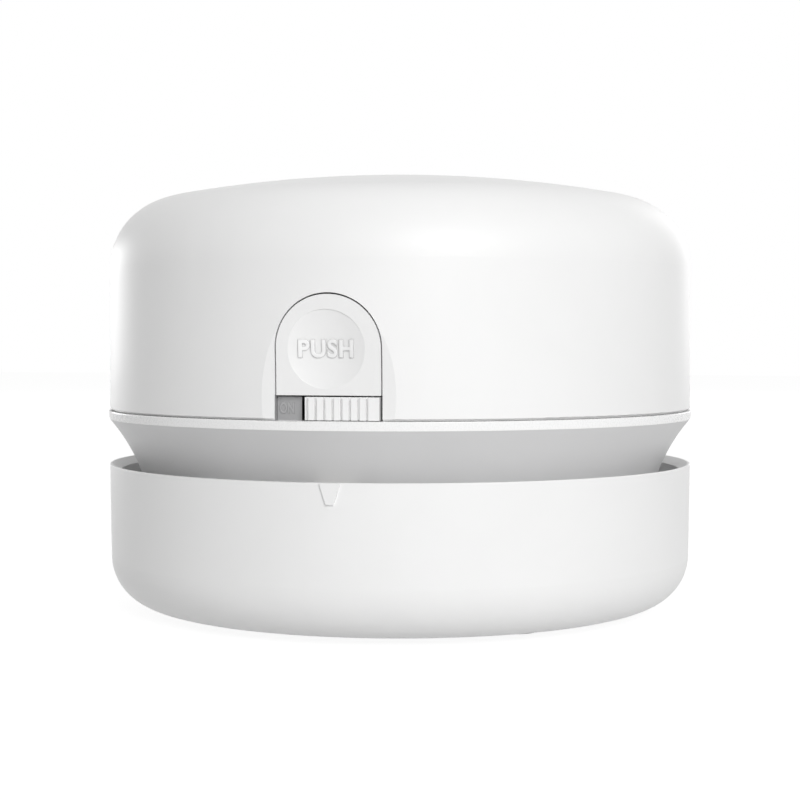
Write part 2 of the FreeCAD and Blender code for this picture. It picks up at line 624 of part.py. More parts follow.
def pin_point(sketch, item, end, point):
    """Hold one end of a sketch line at two expressions, or on an axis where one is 0."""
    for kind, axis, text in (("DistanceX", -2, point[0]), ("DistanceY", -1, point[1])):
        if text == "0":
            sketch.addConstraint(Sketcher.Constraint("PointOnObject", item, end, axis))
            continue
        rule = sketch.addConstraint(Sketcher.Constraint(kind, -1, 1, item, end, number(text)))
        sketch.setExpression(f"Constraints[{rule}]", sized(text))


def outline(body, role, points):
    """A closed sketch. A point is (across, up), or (across, up, radius, side) after an arc."""
    sketch = body.newObject("Sketcher::SketchObject", body.Name + "_sketch")
    sketch.AttachmentSupport = [(origin_plane(body, role), "")]
    sketch.MapMode = "FlatFace"
    places = [Vector(number(p[0]), number(p[1]), 0) for p in points]
    pieces = []
    for index, point in enumerate(points):
        start, end = places[index - 1], places[index]
        if len(point) == 2:
            item = sketch.addGeometry(Part.LineSegment(start, end))
            pieces.append((item, 1, 2))
            continue
        item = add_arc(sketch, start, end, number(point[2]), point[3])
        pieces.append((item, 1, 2) if point[3] > 0 else (item, 2, 1))
        rule = sketch.addConstraint(Sketcher.Constraint("Radius", item, number(point[2])))
        sketch.setExpression(f"Constraints[{rule}]", sized(point[2]))
    for index, (item, start, end) in enumerate(pieces):
        following = pieces[(index + 1) % len(pieces)]
        sketch.addConstraint(Sketcher.Constraint("Coincident", item, end, following[0], following[1]))
        pin_point(sketch, item, end, points[index])
    return sketch


def turned(name, points):
    """A body turned about the Z axis from an outline of radius and height."""
    body = doc.addObject("PartDesign::Body", name)
    sketch = outline(body, "XZ_Plane", points)
    turn = body.newObject("PartDesign::Revolution", name + "_turn")
    turn.Profile = sketch
    turn.ReferenceAxis = (sketch, ["V_Axis"])
    turn.Angle = 360
    doc.recompute()
    return body


def padded(name, role, points, length):
    """A body padded from an outline, as far to one side of the plane as to the other."""
    body = doc.addObject("PartDesign::Body", name)
    pad = body.newObject("PartDesign::Pad", name + "_pad")
    pad.Profile = outline(body, role, points)
    pad.SideType = "Symmetric"
    bind(pad, Length=length)
    doc.recompute()
    return body


def round_rings(body, radius, *rings):
    """Round the circular edges of a turned body; a ring is its radius and its height."""
    names = []
    for ring_radius, height in rings:
        wanted = (number(ring_radius), number(height))
        for index, edge in enumerate(body.Shape.Edges, start=1):
            if edge.Degenerated or not isinstance(edge.Curve, Part.Circle):
                continue
            found = (edge.Curve.Radius, edge.Curve.Center.z)
            if math.dist(found, wanted) < 1e-4:
                names.append(f"Edge{index}")
    base = body.Tip
    fillet = body.newObject("PartDesign::Fillet", body.Name + "_round")
    fillet.Base = (base, names)
    bind(fillet, Radius=radius)
    doc.recompute()
    return body


# ---------------------------------------------------------------------------------------------
# Bowl, intake and feet
# ---------------------------------------------------------------------------------------------
FOOT_ANGLES = (45, 135, 225, 315)


def dust_bowl():
    pan_top = f"{PAN_UNDER} + cup_floor"
    shell = turned("bowl_shell", [
        ("recess_radius", FOOT),
        ("cup_base_radius", FOOT),
        ("cup_rim_radius", RIM),
        ("cup_rim_radius - rim_land", RIM),
        ("cup_rim_radius - cup_wall", f"{RIM} - rim_bevel"),
        ("cup_base_radius - cup_wall", f"{FOOT} + cup_floor"),
        ("recess_radius + cup_floor", f"{FOOT} + cup_floor"),
        ("recess_radius + cup_floor", pan_top),
        ("mouth_radius", pan_top),
        ("mouth_radius", PAN_UNDER),
        ("recess_radius", PAN_UNDER),
    ])
    round_rings(shell, "cup_corner", ("cup_base_radius", FOOT))
    round_rings(shell, "cup_corner - cup_wall", ("cup_base_radius - cup_wall", f"{FOOT} + cup_floor"))
    round_rings(shell, "rim_round", ("cup_rim_radius", RIM), ("cup_rim_radius - rim_land", RIM))
    ribs = [
        radial_box(f"seat_rib_{angle}", angle, "seat_ledge", "cup_base_radius - cup_wall / 2",
                   "seat_rib_width", f"{FOOT} + cup_corner", SEAT)
        for angle in range(0, 360, 45)
    ]
    mark = padded("mark_block", "XZ_Plane", [
        ("mark_shift - mark_foot_width / 2", f"{RIM} - mark_drop - mark_height"),
        ("mark_shift + mark_foot_width / 2", f"{RIM} - mark_drop - mark_height"),
        ("mark_shift + mark_top_width / 2", f"{RIM} - mark_drop"),
        ("mark_shift - mark_top_width / 2", f"{RIM} - mark_drop"),
    ], "2 * cup_rim_radius + 2")
    mark_skin = rod("mark_skin", "cup_rim_radius + mark_relief", ("0", "0", FOOT), "cup_height")
    mark_front = box("mark_front", ("-mark_top_width", "-cup_rim_radius - 2", FOOT),
                     ("mark_top_width", "-cup_rim_radius + rim_land / 2", RIM))
    alignment_mark = common("alignment_mark", common("mark_in_skin", mark, mark_skin), mark_front)
    pocket_reach = "(cup_rim_radius - cup_wall + catch_depth)"
    pocket = common(
        "latch_pocket",
        rod("pocket_round", pocket_reach, ("0", "0", FOOT), "cup_height"),
        box("pocket_box",
            ("-latch_half - catch_side", "-cup_rim_radius", f"{LATCH_FOOT} - latch_play"),
            ("latch_half + catch_side", "-flange_radius + 2", f"{LATCH_FOOT} + latch_nose + latch_play")),
    )
    insets = [
        rod(f"foot_inset_{angle}", "foot_radius + foot_gap",
            (f"foot_circle * cos({angle})", f"foot_circle * sin({angle})", "0"),
            f"{FOOT} + foot_inset")
        for angle in FOOT_ANGLES
    ]
    return cut("dust_bowl", fused("bowl_with_ribs", shell, *ribs, alignment_mark), pocket, *insets)


def intake_duct():
    outer = "(mouth_radius - duct_gap)"
    ledge = f"{PAN_UNDER} + cup_floor"
    return turned("intake_duct", [
        (f"{outer} - duct_wall", f"{FOOT} + duct_drop"),
        (outer, f"{FOOT} + duct_drop"),
        (outer, ledge),
        (f"{outer} + duct_flange", ledge),
        (f"{outer} + duct_flange", f"{ledge} + duct_flange_thick"),
        (outer, f"{ledge} + duct_flange_thick"),
        (outer, f"{FOOT} + duct_rise"),
        (f"{outer} - duct_wall", f"{FOOT} + duct_rise"),
    ])


def tuft_places():
    count = int(number("tuft_count"))
    for index in range(count):
        angle = 360 * index / count
        yield index, f"tuft_circle * cos({angle})", f"tuft_circle * sin({angle})"


def brush_ring():
    foot = f"({PAN_UNDER} - brush_ring_thick)"
    ring = turned("brush_ring_blank", [
        ("mouth_radius + brush_ring_gap", foot),
        ("recess_radius - brush_ring_gap", foot),
        ("recess_radius - brush_ring_gap", PAN_UNDER),
        ("mouth_radius + brush_ring_gap", PAN_UNDER),
    ])
    holes = [
        rod(f"tuft_hole_{index}", "tuft_radius + press_gap", (across, along, f"{foot} - 1"), "tuft_seat + 1")
        for index, across, along in tuft_places()
    ]
    return cut("brush_ring", ring, *holes)


def bristle_tufts():
    top = f"{PAN_UNDER} - brush_ring_thick + tuft_seat"
    tufts = [
        rod(f"tuft_{index}", "tuft_radius", (across, along, "tuft_clear"), f"{top} - tuft_clear")
        for index, across, along in tuft_places()
    ]
    return group("bristle_tufts", *tufts)


def glide_feet():
    feet = [
        rod(f"glide_foot_{angle}", "foot_radius",
            (f"foot_circle * cos({angle})", f"foot_circle * sin({angle})", "0"), f"{FOOT} + foot_inset")
        for angle in FOOT_ANGLES
    ]
    return group("glide_feet", *feet)


# ---------------------------------------------------------------------------------------------
# Filter
# ---------------------------------------------------------------------------------------------
def filter_frame():
    ring = turned("filter_ring", [
        ("filter_radius - filter_wall - filter_lip", FILTER_FOOT),
        ("filter_radius", FILTER_FOOT),
        ("filter_radius", f"{FILTER_TOP} - filter_rim_thick"),
        ("filter_rim_radius", f"{FILTER_TOP} - filter_rim_thick"),
        ("filter_rim_radius", FILTER_TOP),
        ("filter_radius - filter_wall", FILTER_TOP),
        ("filter_radius - filter_wall", f"{FILTER_FOOT} + filter_grid"),
        ("filter_radius - filter_wall - filter_lip", f"{FILTER_FOOT} + filter_grid"),
    ])
    hub = rod("filter_hub_disc", "filter_hub", ("0", "0", FILTER_FOOT), "filter_grid")
    middle_ring = turned("filter_middle_ring", [
        ("grid_ring_radius", FILTER_FOOT),
        ("grid_ring_radius + spoke_width", FILTER_FOOT),
        ("grid_ring_radius + spoke_width", f"{FILTER_FOOT} + filter_grid"),
        ("grid_ring_radius", f"{FILTER_FOOT} + filter_grid"),
    ])
    count = int(number("spoke_count"))
    spokes = [
        radial_box(f"filter_spoke_{index}", 360 * index / count, "filter_hub - 1",
                   "filter_radius - filter_wall - filter_lip + 1", "spoke_width",
                   FILTER_FOOT, f"{FILTER_FOOT} + filter_grid")
        for index in range(count)
    ]
    return fused("filter_frame", ring, hub, middle_ring, *spokes)


def filter_screen():
    return rod("filter_screen", "filter_radius - filter_wall - cloth_gap",
               ("0", "0", f"{FILTER_FOOT} + filter_grid"), "screen_thick")


def filter_cloth():
    low = f"({FILTER_FOOT} + filter_grid + screen_thick)"
    return rod("filter_cloth", "filter_radius - filter_wall - cloth_gap", ("0", "0", low),
               f"{FILTER_TOP} - {low} - 2 * cloth_gap")


# ---------------------------------------------------------------------------------------------
# Chassis
# ---------------------------------------------------------------------------------------------
def corner_angles():
    """The case screws stand in two mirrored pairs about both middle planes."""
    for across, along in ((1, 1), (-1, 1), (-1, -1), (1, -1)):
        yield f"{across} * post_x", f"{along} * post_circle * sin(post_angle)"


COVER_POST_ANGLES = (90, 235, 305)


def cover_post_places():
    for angle in COVER_POST_ANGLES:
        yield angle, f"cover_post_circle * cos({angle})", f"cover_post_circle * sin({angle})"


def chassis_ring():
    groove = "(flange_radius - seal_groove)"
    ring = turned("chassis_ring", [
        ("band_radius", BAND),
        ("band_radius - band_taper", WAIST),
        ("neck_radius", f"{BAND} - neck_drop", "neck_flare", 1),
        ("neck_radius", FLANGE_TOP),
        ("flange_radius", FLANGE_TOP),
        ("flange_radius", f"{FLANGE_TOP} - seal_inset"),
        (groove, f"{FLANGE_TOP} - seal_inset"),
        (groove, f"{SEAT} + seal_inset"),
        ("flange_radius", f"{SEAT} + seal_inset"),
        ("flange_radius", SEAT),
        ("filter_recess", SEAT),
        ("filter_recess", FLOOR_UNDER),
        ("intake_radius", FLOOR_UNDER),
        ("intake_radius", FLOOR),
        ("neck_radius - neck_wall", FLOOR),
        ("neck_radius - neck_wall", f"{BAND} - neck_drop"),
        ("inner_ring_radius", f"{BAND} - inner_ring_drop", "inner_flare", -1),
        ("inner_ring_radius", f"{BAND} + ring_rise"),
        ("shell_radius - shell_wall - ring_gap", f"{BAND} + ring_rise"),
        ("shell_radius - shell_wall - ring_gap", BAND),
    ])
    return round_rings(ring, "band_edge", ("band_radius", BAND), ("band_radius - band_taper", WAIST))


def chassis():
    posts = [
        rod(f"case_post_{index}", "post_radius", (across, along, FLOOR_UNDER), f"{BAND} - {FLOOR_UNDER}")
        for index, (across, along) in enumerate(corner_angles())
    ]
    cover_posts = [
        rod(f"cover_post_{angle}", "cover_post_radius", (across, along, FLOOR_UNDER),
            f"{COVER_UNDER} - {FLOOR_UNDER}")
        for angle, across, along in cover_post_places()
    ]
    bed = box("slider_bed", ("-bed_half", "-bed_front", f"{BAND} - band_height / 2"),
              ("bed_half", "-bed_front + bed_thick", f"{BAND} + slider_base + slider_height"))
    notch = box("front_notch_cut", ("-front_notch", "-shell_radius", BAND),
                ("front_notch", "-inner_ring_radius + 4", f"{BAND} + ring_rise + 1"))
    ring = cut("ring_with_notch", chassis_ring(), notch)
    slots = [
        radial_box(f"exhaust_slot_{index}", -90 + (360 - number("slot_span")) / 2
                   + index * number("slot_span") / (number("slot_count") - 1),
                   "neck_radius - neck_wall - 0.3", "neck_radius + neck_wall", "slot_width",
                   f"{FLOOR} + slot_sill", f"{FLOOR} + slot_sill + slot_height")
        for index in range(int(number("slot_count")))
    ]
    window = box("latch_window_cut",
                 ("-latch_window", "-neck_radius - neck_wall", FLOOR),
                 ("latch_window", "-neck_radius + neck_wall + 1",
                  f"{LATCH_FOOT} + latch_nose + 2 * latch_play"))
    track = box("slider_track",
                ("track_left", "-bed_front - 1", f"{BAND} + neck_low - track_gap"),
                ("track_right", "-bed_front + bed_thick + 1",
                 f"{BAND} + neck_low + neck_thick + track_gap"))
    rest_groove = box("rest_groove", ("track_left", "-bed_front - 1", BAND),
                      ("slider_left", "-bed_front + rest_depth",
                       f"{BAND} + slider_base + slider_height + 1"))
    head_top = f"({BAND} - post_web)"
    bores = []
    for index, (across, along) in enumerate(corner_angles()):
        bores.append(rod(f"head_bore_{index}", "head_radius + head_gap",
                         (across, along, f"{FLOOR_UNDER} - 1"), f"{head_top} - {FLOOR_UNDER} + 1"))
        bores.append(rod(f"shank_bore_{index}", "shank_radius + shank_gap",
                         (across, along, FLOOR_UNDER), f"{BAND} - {FLOOR_UNDER} + 1"))
    pilots = [
        rod(f"cover_pilot_{angle}", "small_shank + thread_gap", (across, along, FLOOR), "fan_room + 1")
        for angle, across, along in cover_post_places()
    ]
    body = fused("chassis_body", ring, bed, *posts, *cover_posts)
    return cut("chassis", body, window, track, rest_groove, *slots, *bores, *pilots)


def cup_seal():
    inner = "(flange_radius - seal_groove)"
    low = f"({SEAT} + seal_inset)"
    high = f"({FLANGE_TOP} - seal_inset)"
    ring = turned("cup_seal", [
        (inner, low),
        ("flange_radius + seal_stand", low),
        ("flange_radius + seal_stand", high),
        (inner, high),
    ])
    return round_rings(ring, "seal_stand", ("flange_radius + seal_stand", low),
                       ("flange_radius + seal_stand", high))


def case_screws():
    head_top = f"({BAND} - post_web)"
    screws = []
    for index, (across, along) in enumerate(corner_angles()):
        head = rod(f"case_head_{index}", "head_radius", (across, along, f"{head_top} - head_height"),
                   "head_height")
        shank = rod(f"case_shank_{index}", "shank_radius", (across, along, f"{head_top} - head_height / 2"),
                    "head_height / 2 + post_web + screw_bite")
        drive = box(f"case_drive_{index}",
                    (f"{across} - drive_reach", f"{along} - drive_width / 2",
                     f"{head_top} - head_height - 1"),
                    (f"{across} + drive_reach", f"{along} + drive_width / 2",
                     f"{head_top} - head_height / 2"))
        screws.append(cut(f"case_screw_{index}", fused(f"case_screw_blank_{index}", head, shank), drive))
    return group("case_screws", *screws)


# ---------------------------------------------------------------------------------------------
# Upper shell
# ---------------------------------------------------------------------------------------------
def arch(name, inset, back):
    """The outline of the button's opening, made smaller by inset, from the front back to back."""
    half = f"(button_width / 2 - ({inset}))"
    top = f"({BAND} + button_top - button_width / 2)"
    low = f"({BAND} + button_low + ({inset}))"
    front = "-shell_radius - 3"
    legs = box(name + "_legs", (f"-{half}", front, low), (half, f"-({back})", top))
    disc = rod(name + "_disc", half, ("0", front, top), f"-({back}) - ({front})", "y")
    above = box(name + "_above", (f"-{half}", front, top), (half, f"-({back})", f"{top} + {half}"))
    return fused(name, legs, common(name + "_crown", disc, above))


def facet_cutter(name):
    return rod(name, "facet_radius", ("-shell_radius", "-facet_depth - facet_radius",
                                      f"{BAND} + facet_rise"), "2 * shell_radius", "x")


def upper_shell():
    dome = turned("dome", [
        ("shell_radius - shell_wall", SHELL_SEAT),
        ("shell_radius - seam_depth", SHELL_SEAT),
        ("shell_radius - seam_depth", SHELL_FOOT),
        ("shell_radius", SHELL_FOOT),
        ("shell_top_radius", SHOULDER),
        ("0", CROWN, "crown_radius", 1),
        ("0", f"{CROWN} - shell_wall"),
        ("shell_top_radius - shell_wall", f"{CROWN} - shell_wall - {INNER_RISE}",
         "crown_radius - shell_wall", -1),
    ])
    round_rings(dome, "shell_corner", ("shell_top_radius", SHOULDER))
    round_rings(dome, "shell_corner - shell_wall",
                ("shell_top_radius - shell_wall", f"{CROWN} - shell_wall - {INNER_RISE}"))
    round_rings(dome, "shell_edge", ("shell_radius", SHELL_FOOT))
    bosses = [
        rod(f"shell_boss_{index}", "boss_radius", (across, along, BAND), f"{SHOULDER} + boss_rise - {BAND}")
        for index, (across, along) in enumerate(corner_angles())
    ]
    pilots = [
        rod(f"boss_pilot_{index}", "shank_radius + thread_gap", (across, along, f"{BAND} - 1"),
            "screw_bite + 1 + pilot_spare")
        for index, (across, along) in enumerate(corner_angles())
    ]
    window = box("slider_opening", ("-button_width / 2 - button_gap", "-shell_radius - 3", BAND),
                 ("button_width / 2 + button_gap", "-shell_radius + shell_wall + 2",
                  f"{BAND} + button_top - button_width / 2"))
    socket_hole = box(
        "socket_opening",
        ("-socket_width / 2 - socket_gap", "shell_radius - shell_wall - 2", f"{BOARD_TOP} - socket_gap"),
        ("socket_width / 2 + socket_gap", "shell_radius + 1", f"{BOARD_TOP} + socket_height + socket_gap"))
    lamp_hole = rod("lamp_opening", "lamp_radius + lamp_gap",
                    ("lamp_x", "shell_radius - shell_wall - 4", f"{BOARD_TOP} + socket_height / 2"),
                    "shell_wall + 8", "y")
    body = fused("dome_with_bosses", dome, *bosses)
    return cut("upper_shell", body, facet_cutter("shell_facet"),
               arch("button_opening", "-button_gap", "shell_radius - shell_wall - 2"),
               window, socket_hole, lamp_hole, *pilots)


# ---------------------------------------------------------------------------------------------
# Button and latch
# ---------------------------------------------------------------------------------------------
def push_button():
    blank = arch("button_blank", "0", "button_back")
    hollow = common("button_hollow", arch("button_inside", "button_side", "button_back - 1"),
                    box("button_inside_limit",
                        ("-button_width", "-facet_depth + button_thick", BAND),
                        ("button_width", "0", CROWN)))
    ball_radius = "(((dimple_radius + dimple_lap)^2 + dimple_depth^2) / (2 * dimple_depth))"
    facet_bow = "((dimple_rise - facet_rise)^2 / (2 * facet_radius))"
    facet_slope = "((dimple_rise - facet_rise) / facet_radius)"
    dimple = common(
        "finger_dimple",
        ball("dimple_hollow", ball_radius,
             ("-dimple_side", f"-facet_depth - {facet_bow} + dimple_depth - {ball_radius}",
              f"{STEM_AXIS} - {facet_slope} * ({ball_radius} - dimple_depth)")),
        rod("dimple_edge", "dimple_radius", ("-dimple_side", "-shell_radius - 3", STEM_AXIS), "shell_radius",
            "y"),
    )
    return cut("push_button", blank, facet_cutter("button_face"), hollow, dimple)


def button_stem():
    plate = box("stem_plate_block", ("-stem_wing", "-button_back", f"{BAND} + stem_low"),
                ("stem_wing", "-button_back + stem_plate", f"{BAND} + stem_high"))
    stem = rod("stem_rod", "stem_radius", ("0", "-button_back", STEM_AXIS), "stem_length", "y")
    collar = rod("stem_collar", "collar_radius", ("0", "-button_back + stem_plate", STEM_AXIS),
                 "collar_thick", "y")
    plug = rod("stem_plug", "plug_radius", ("0", "-facet_depth + button_thick", STEM_AXIS),
               "facet_depth - button_thick - button_back + stem_plate / 2", "y")
    foot = box("press_foot_block", ("-press_foot", "-press_front", f"{COVER} + latch_play"),
               ("press_foot", "-press_front + press_thick", f"{BAND} + stem_low + press_thick"))
    link = box("press_foot_link", ("-press_foot", "-button_back + stem_plate / 2", f"{BAND} + stem_low"),
               ("press_foot", "-press_front + press_thick", f"{BAND} + stem_low + press_thick"))
    return fused("button_stem", plate, stem, collar, plug, foot, link)


def button_spring():
    front = "(button_back - stem_plate - collar_thick - spring_wire - spring_room)"
    back = "(bracket_wall_at + spring_wire + spring_room)"
    body = doc.addObject("PartDesign::Body", "spring_coil")
    sketch = body.newObject("Sketcher::SketchObject", "spring_section")
    sketch.AttachmentSupport = [(origin_plane(body, "XZ_Plane"), "")]
    sketch.MapMode = "FlatFace"
    wire = sketch.addGeometry(Part.Circle(Vector(number("spring_radius"), 0, 0), Vector(0, 0, 1),
                                          number("spring_wire")))
    pin_point(sketch, wire, 3, ("spring_radius", "0"))
    rule = sketch.addConstraint(Sketcher.Constraint("Radius", wire, number("spring_wire")))
    sketch.setExpression(f"Constraints[{rule}]", sized("spring_wire"))
    coil = body.newObject("PartDesign::AdditiveHelix", "spring_helix")
    coil.Profile = sketch
    coil.ReferenceAxis = (sketch, ["V_Axis"])
    coil.Mode = "height-turns-angle"
    coil.Angle = 0
    bind(coil, Height=f"{front} - {back}", Turns="spring_turns")
    doc.recompute()
    laid = group("button_spring", body)
    return put(laid, ("0", f"-{front}", STEM_AXIS), Rotation(Vector(1, 0, 0), -90))


def button_bracket():
    base_top = f"({SLIDER_MID} - switch_height / 2)"
    side_end = "lever_x + switch_right + bracket_margin"
    base = box("bracket_base", ("-bracket_half", "-bracket_front", COVER),
               (side_end, "-bracket_wall_at + bracket_wall", base_top))
    switch_seat = box("switch_seat", ("latch_half + catch_side", "-switch_front + seat_back", COVER),
                      (side_end, "-bracket_front + 1", base_top))
    wall = box("bracket_back", ("-bracket_half", "-bracket_wall_at", COVER),
               ("bracket_half", "-bracket_wall_at + bracket_wall", f"{BAND} + bracket_top"))
    shelf = box("latch_shelf", ("-latch_half", "-shelf_front", COVER),
                ("latch_half", "-bracket_wall_at + bracket_wall / 2", f"{BAND} + latch_root"))
    ribs = [
        box(f"bracket_rib_{side}",
            (f"{side} * (bracket_half - bracket_rib / 2) - bracket_rib / 2",
             "-bracket_wall_at - bracket_rib_reach", COVER),
            (f"{side} * (bracket_half - bracket_rib / 2) + bracket_rib / 2",
             "-bracket_wall_at + bracket_wall / 2", f"{BAND} + bracket_top / 2"))
        for side in (-1, 1)
    ]
    spigot = rod("spring_spigot", "spigot_radius", ("0", "-bracket_wall_at - spigot_length", STEM_AXIS),
                 "spigot_length + bracket_wall / 2", "y")
    pilot = rod("latch_pilot", "small_shank + thread_gap",
                ("0", "-latch_screw_at", f"{BAND} + latch_root - small_bite - pilot_spare"),
                "small_bite + pilot_spare + 1")
    return cut("button_bracket", fused("bracket_body", base, switch_seat, wall, shelf, *ribs, spigot),
               pilot)


def latch_tongue():
    root_low = f"({BAND} + latch_root)"
    root_high = f"({BAND} + latch_root + latch_root_thick)"
    nose_top = f"({LATCH_FOOT} + latch_nose)"
    blade = padded("latch_blade", "YZ_Plane", [
        ("-latch_front", root_high),
        ("-latch_front", nose_top),
        ("-latch_tip", nose_top),
        ("-latch_tip", f"{nose_top} - latch_lead"),
        ("-latch_tip + latch_lead", LATCH_FOOT),
        ("-latch_front + latch_thick", LATCH_FOOT),
        ("-latch_front + latch_thick", root_low),
        ("-latch_end", root_low),
        ("-latch_end", root_high),
    ], "2 * latch_half")
    hole = rod("latch_hole", "small_shank + shank_gap", ("0", "-latch_screw_at", f"{root_low} - 1"),
               "latch_root_thick + 2")
    return cut("latch_tongue", blade, hole)


def small_screw(name, across, along, seat, bite):
    """A small pan-head screw that stands upright with its head on seat."""
    head = rod(name + "_head", "small_head", (across, along, seat), "small_head_height")
    shank = rod(name + "_shank", "small_shank", (across, along, f"{seat} - ({bite})"), bite)
    return fused(name, head, shank)


def latch_screw():
    return small_screw("latch_screw", "0", "-latch_screw_at",
                       f"{BAND} + latch_root + latch_root_thick", "latch_root_thick + small_bite")


# ---------------------------------------------------------------------------------------------
# Slider and switch
# ---------------------------------------------------------------------------------------------
def power_slider():
    low = f"({BAND} + slider_base)"
    high = f"({BAND} + slider_base + slider_height)"
    right = "(slider_left + slider_width)"
    thumb = box("slider_thumb", ("slider_left", "-slider_front", low), (right, "-slider_back", high))
    keeper_low = f"({BAND} + neck_low - keeper_margin)"
    keeper_high = f"({BAND} + neck_low + neck_thick + keeper_margin)"
    finger_left = "(lever_x + lever_half + lever_gap)"
    neck = box("slider_neck", ("neck_left", "-slider_back - slider_lap", f"{BAND} + neck_low"),
               ("neck_right", "-keeper_front + keeper_thick / 2", f"{BAND} + neck_low + neck_thick"))
    keeper = box("slider_keeper", ("neck_left", "-keeper_front", keeper_low),
                 ("keeper_right", "-keeper_front + keeper_thick", keeper_high))
    grooves = [
        box(f"slider_groove_{index}",
            (f"slider_left + first_groove + {index} * rib_pitch", "-slider_front - 1", f"{low} - 1"),
            (f"slider_left + first_groove + {index} * rib_pitch + rib_groove", "-slider_front + rib_depth",
             f"{high} + 1"))
        for index in range(int(number("rib_count")))
    ]
    finger = box("lever_finger",
                 (finger_left, "-keeper_front", keeper_low),
                 (f"{finger_left} + finger_thick", "-keeper_front + keeper_thick", keeper_high))
    bridge = box("lever_bridge",
                 ("lever_x - finger_reach", "-keeper_front", keeper_high),
                 (f"{finger_left} + finger_thick", "-keeper_front + keeper_thick",
                  f"{keeper_high} + finger_thick"))
    return fused("power_slider",
                 cut("slider_body", fused("slider_blank", thumb, neck, keeper), *grooves),
                 finger, bridge)


def switch_lever():
    return box("switch_lever",
               ("lever_x - lever_half", "-keeper_front + lever_gap", f"{SLIDER_MID} - lever_half"),
               ("lever_x + lever_half", "-switch_front + lever_tail", f"{SLIDER_MID} + lever_half"))


def slide_switch():
    right = "(lever_x + switch_right)"
    body = box("switch_block",
               (f"{right} - switch_width", "-switch_front", f"{SLIDER_MID} - switch_height / 2"),
               (right, "-switch_front + switch_depth", f"{SLIDER_MID} + switch_height / 2"))
    slot = box("switch_slot",
               ("lever_x - lever_half - slider_travel - switch_room", "-switch_front - 1",
                f"{SLIDER_MID} - lever_half - switch_room"),
               ("lever_x + lever_half + switch_room", "-switch_front + lever_tail + switch_room",
                f"{SLIDER_MID} + lever_half + switch_room"))
    return cut("slide_switch", body, slot)


# ---------------------------------------------------------------------------------------------
# Fan and motor
# ---------------------------------------------------------------------------------------------
def fan_cover():
    disc = rod("cover_disc", "cover_radius", ("0", "0", COVER_UNDER), "cover_plate")
    clamp_posts = [
        rod(f"clamp_post_{side}", "clamp_post_radius", ("0", f"{side} * clamp_post_at", COVER_UNDER),
            f"{MOTOR_TOP} + damper_thick - {COVER_UNDER}")
        for side in (-1, 1)
    ]
    board_posts = [
        rod(f"board_post_{side}", "board_post_radius",
            (f"{side} * board_screw_x", "board_screw_y", COVER_UNDER), "cover_plate + board_rise")
        for side in (-1, 1)
    ]
    socket_wall = cut(
        "motor_socket",
        box("socket_outer", ("-can_flat - cradle_wall", "-cradle_reach", COVER),
            ("can_flat + cradle_wall", "cradle_reach", f"{COVER} + cradle_height")),
        box("socket_inner", ("-can_flat - press_gap", "-can_radius", f"{COVER} - 1"),
            ("can_flat + press_gap", "can_radius", f"{COVER} + cradle_height + 1")))
    holes = [
        rod(f"cover_relief_{index}", "post_radius + cover_gap", (across, along, f"{COVER_UNDER} - 1"),
            "cover_plate + 2")
        for index, (across, along) in enumerate(corner_angles())
    ]
    holes += [
        rod(f"cover_hole_{angle}", "small_shank + shank_gap", (across, along, f"{COVER_UNDER} - 1"),
            "cover_plate + 2")
        for angle, across, along in cover_post_places()
    ]
    nose_hole = rod("nose_hole", "nose_radius + nose_gap", ("0", "0", f"{COVER_UNDER} - 1"),
                    "cover_plate + 2")
    latch_gap = box("latch_gap", ("-latch_half - catch_side", "-cover_radius - 1", f"{COVER_UNDER} - 1"),
                    ("latch_half + catch_side", "-latch_front + latch_thick + button_travel + catch_side",
                     f"{COVER} + 1"))
    clamp_pilots = [
        rod(f"clamp_pilot_{side}", "small_shank + thread_gap",
            ("0", f"{side} * clamp_post_at", f"{MOTOR_TOP} + damper_thick - small_bite - pilot_spare"),
            "small_bite + pilot_spare + 1")
        for side in (-1, 1)
    ]
    board_pilots = [
        rod(f"board_pilot_{side}", "small_shank + thread_gap",
            (f"{side} * board_screw_x", "board_screw_y", f"{COVER} + board_rise - small_bite - pilot_spare"),
            "small_bite + pilot_spare + 1")
        for side in (-1, 1)
    ]
    return cut("fan_cover", fused("cover_body", disc, socket_wall, *clamp_posts, *board_posts),
               nose_hole, latch_gap, *holes, *clamp_pilots, *board_pilots)


def cover_screws():
    return group("cover_screws", *[
        small_screw(f"cover_screw_{angle}", across, along, COVER, "cover_plate + small_bite")
        for angle, across, along in cover_post_places()
    ])


def impeller():
    foot = f"({FLOOR} + fan_gap)"
    disc_low = f"({FLOOR} + fan_gap + fan_height - fan_disc)"
    top = f"({FLOOR} + fan_gap + fan_height)"
    bore = "(shaft_radius + press_gap)"
    wheel = turned("fan_wheel", [
        (bore, f"{foot} + hub_rise"),
        ("fan_hub", f"{foot} + hub_rise"),
        ("fan_hub", disc_low),
        ("fan_radius", disc_low),
        ("fan_radius", top),
        (bore, top),
    ])
    blade = doc.addObject("PartDesign::Body", "fan_blade")
    pad = blade.newObject("PartDesign::Pad", "fan_blade_pad")
    reach = "(fan_radius - blade_inset)"
    pad.Profile = outline(blade, "XY_Plane", [
        ("blade_inner", "0"),
        (f"{reach} * cos(blade_sweep)", f"{reach} * sin(blade_sweep)", "blade_curve", 1),
        (f"({reach} - blade_thick) * cos(blade_sweep + blade_tip)",
         f"({reach} - blade_thick) * sin(blade_sweep + blade_tip)"),
        ("blade_inner", "blade_thick", "blade_curve - blade_thick", -1),
    ])
    bind(pad, Length="fan_height - fan_disc / 2")
    doc.recompute()
    blades = []
    count = int(number("blade_count"))
    for index in range(count):
        copy = doc.addObject("App::Link", f"fan_blade_{index}")
        copy.LinkedObject = blade
        blades.append(put(copy, ("0", "0", foot), Rotation(Vector(0, 0, 1), 360 * index / count)))
    return fused("impeller", wheel, *blades)


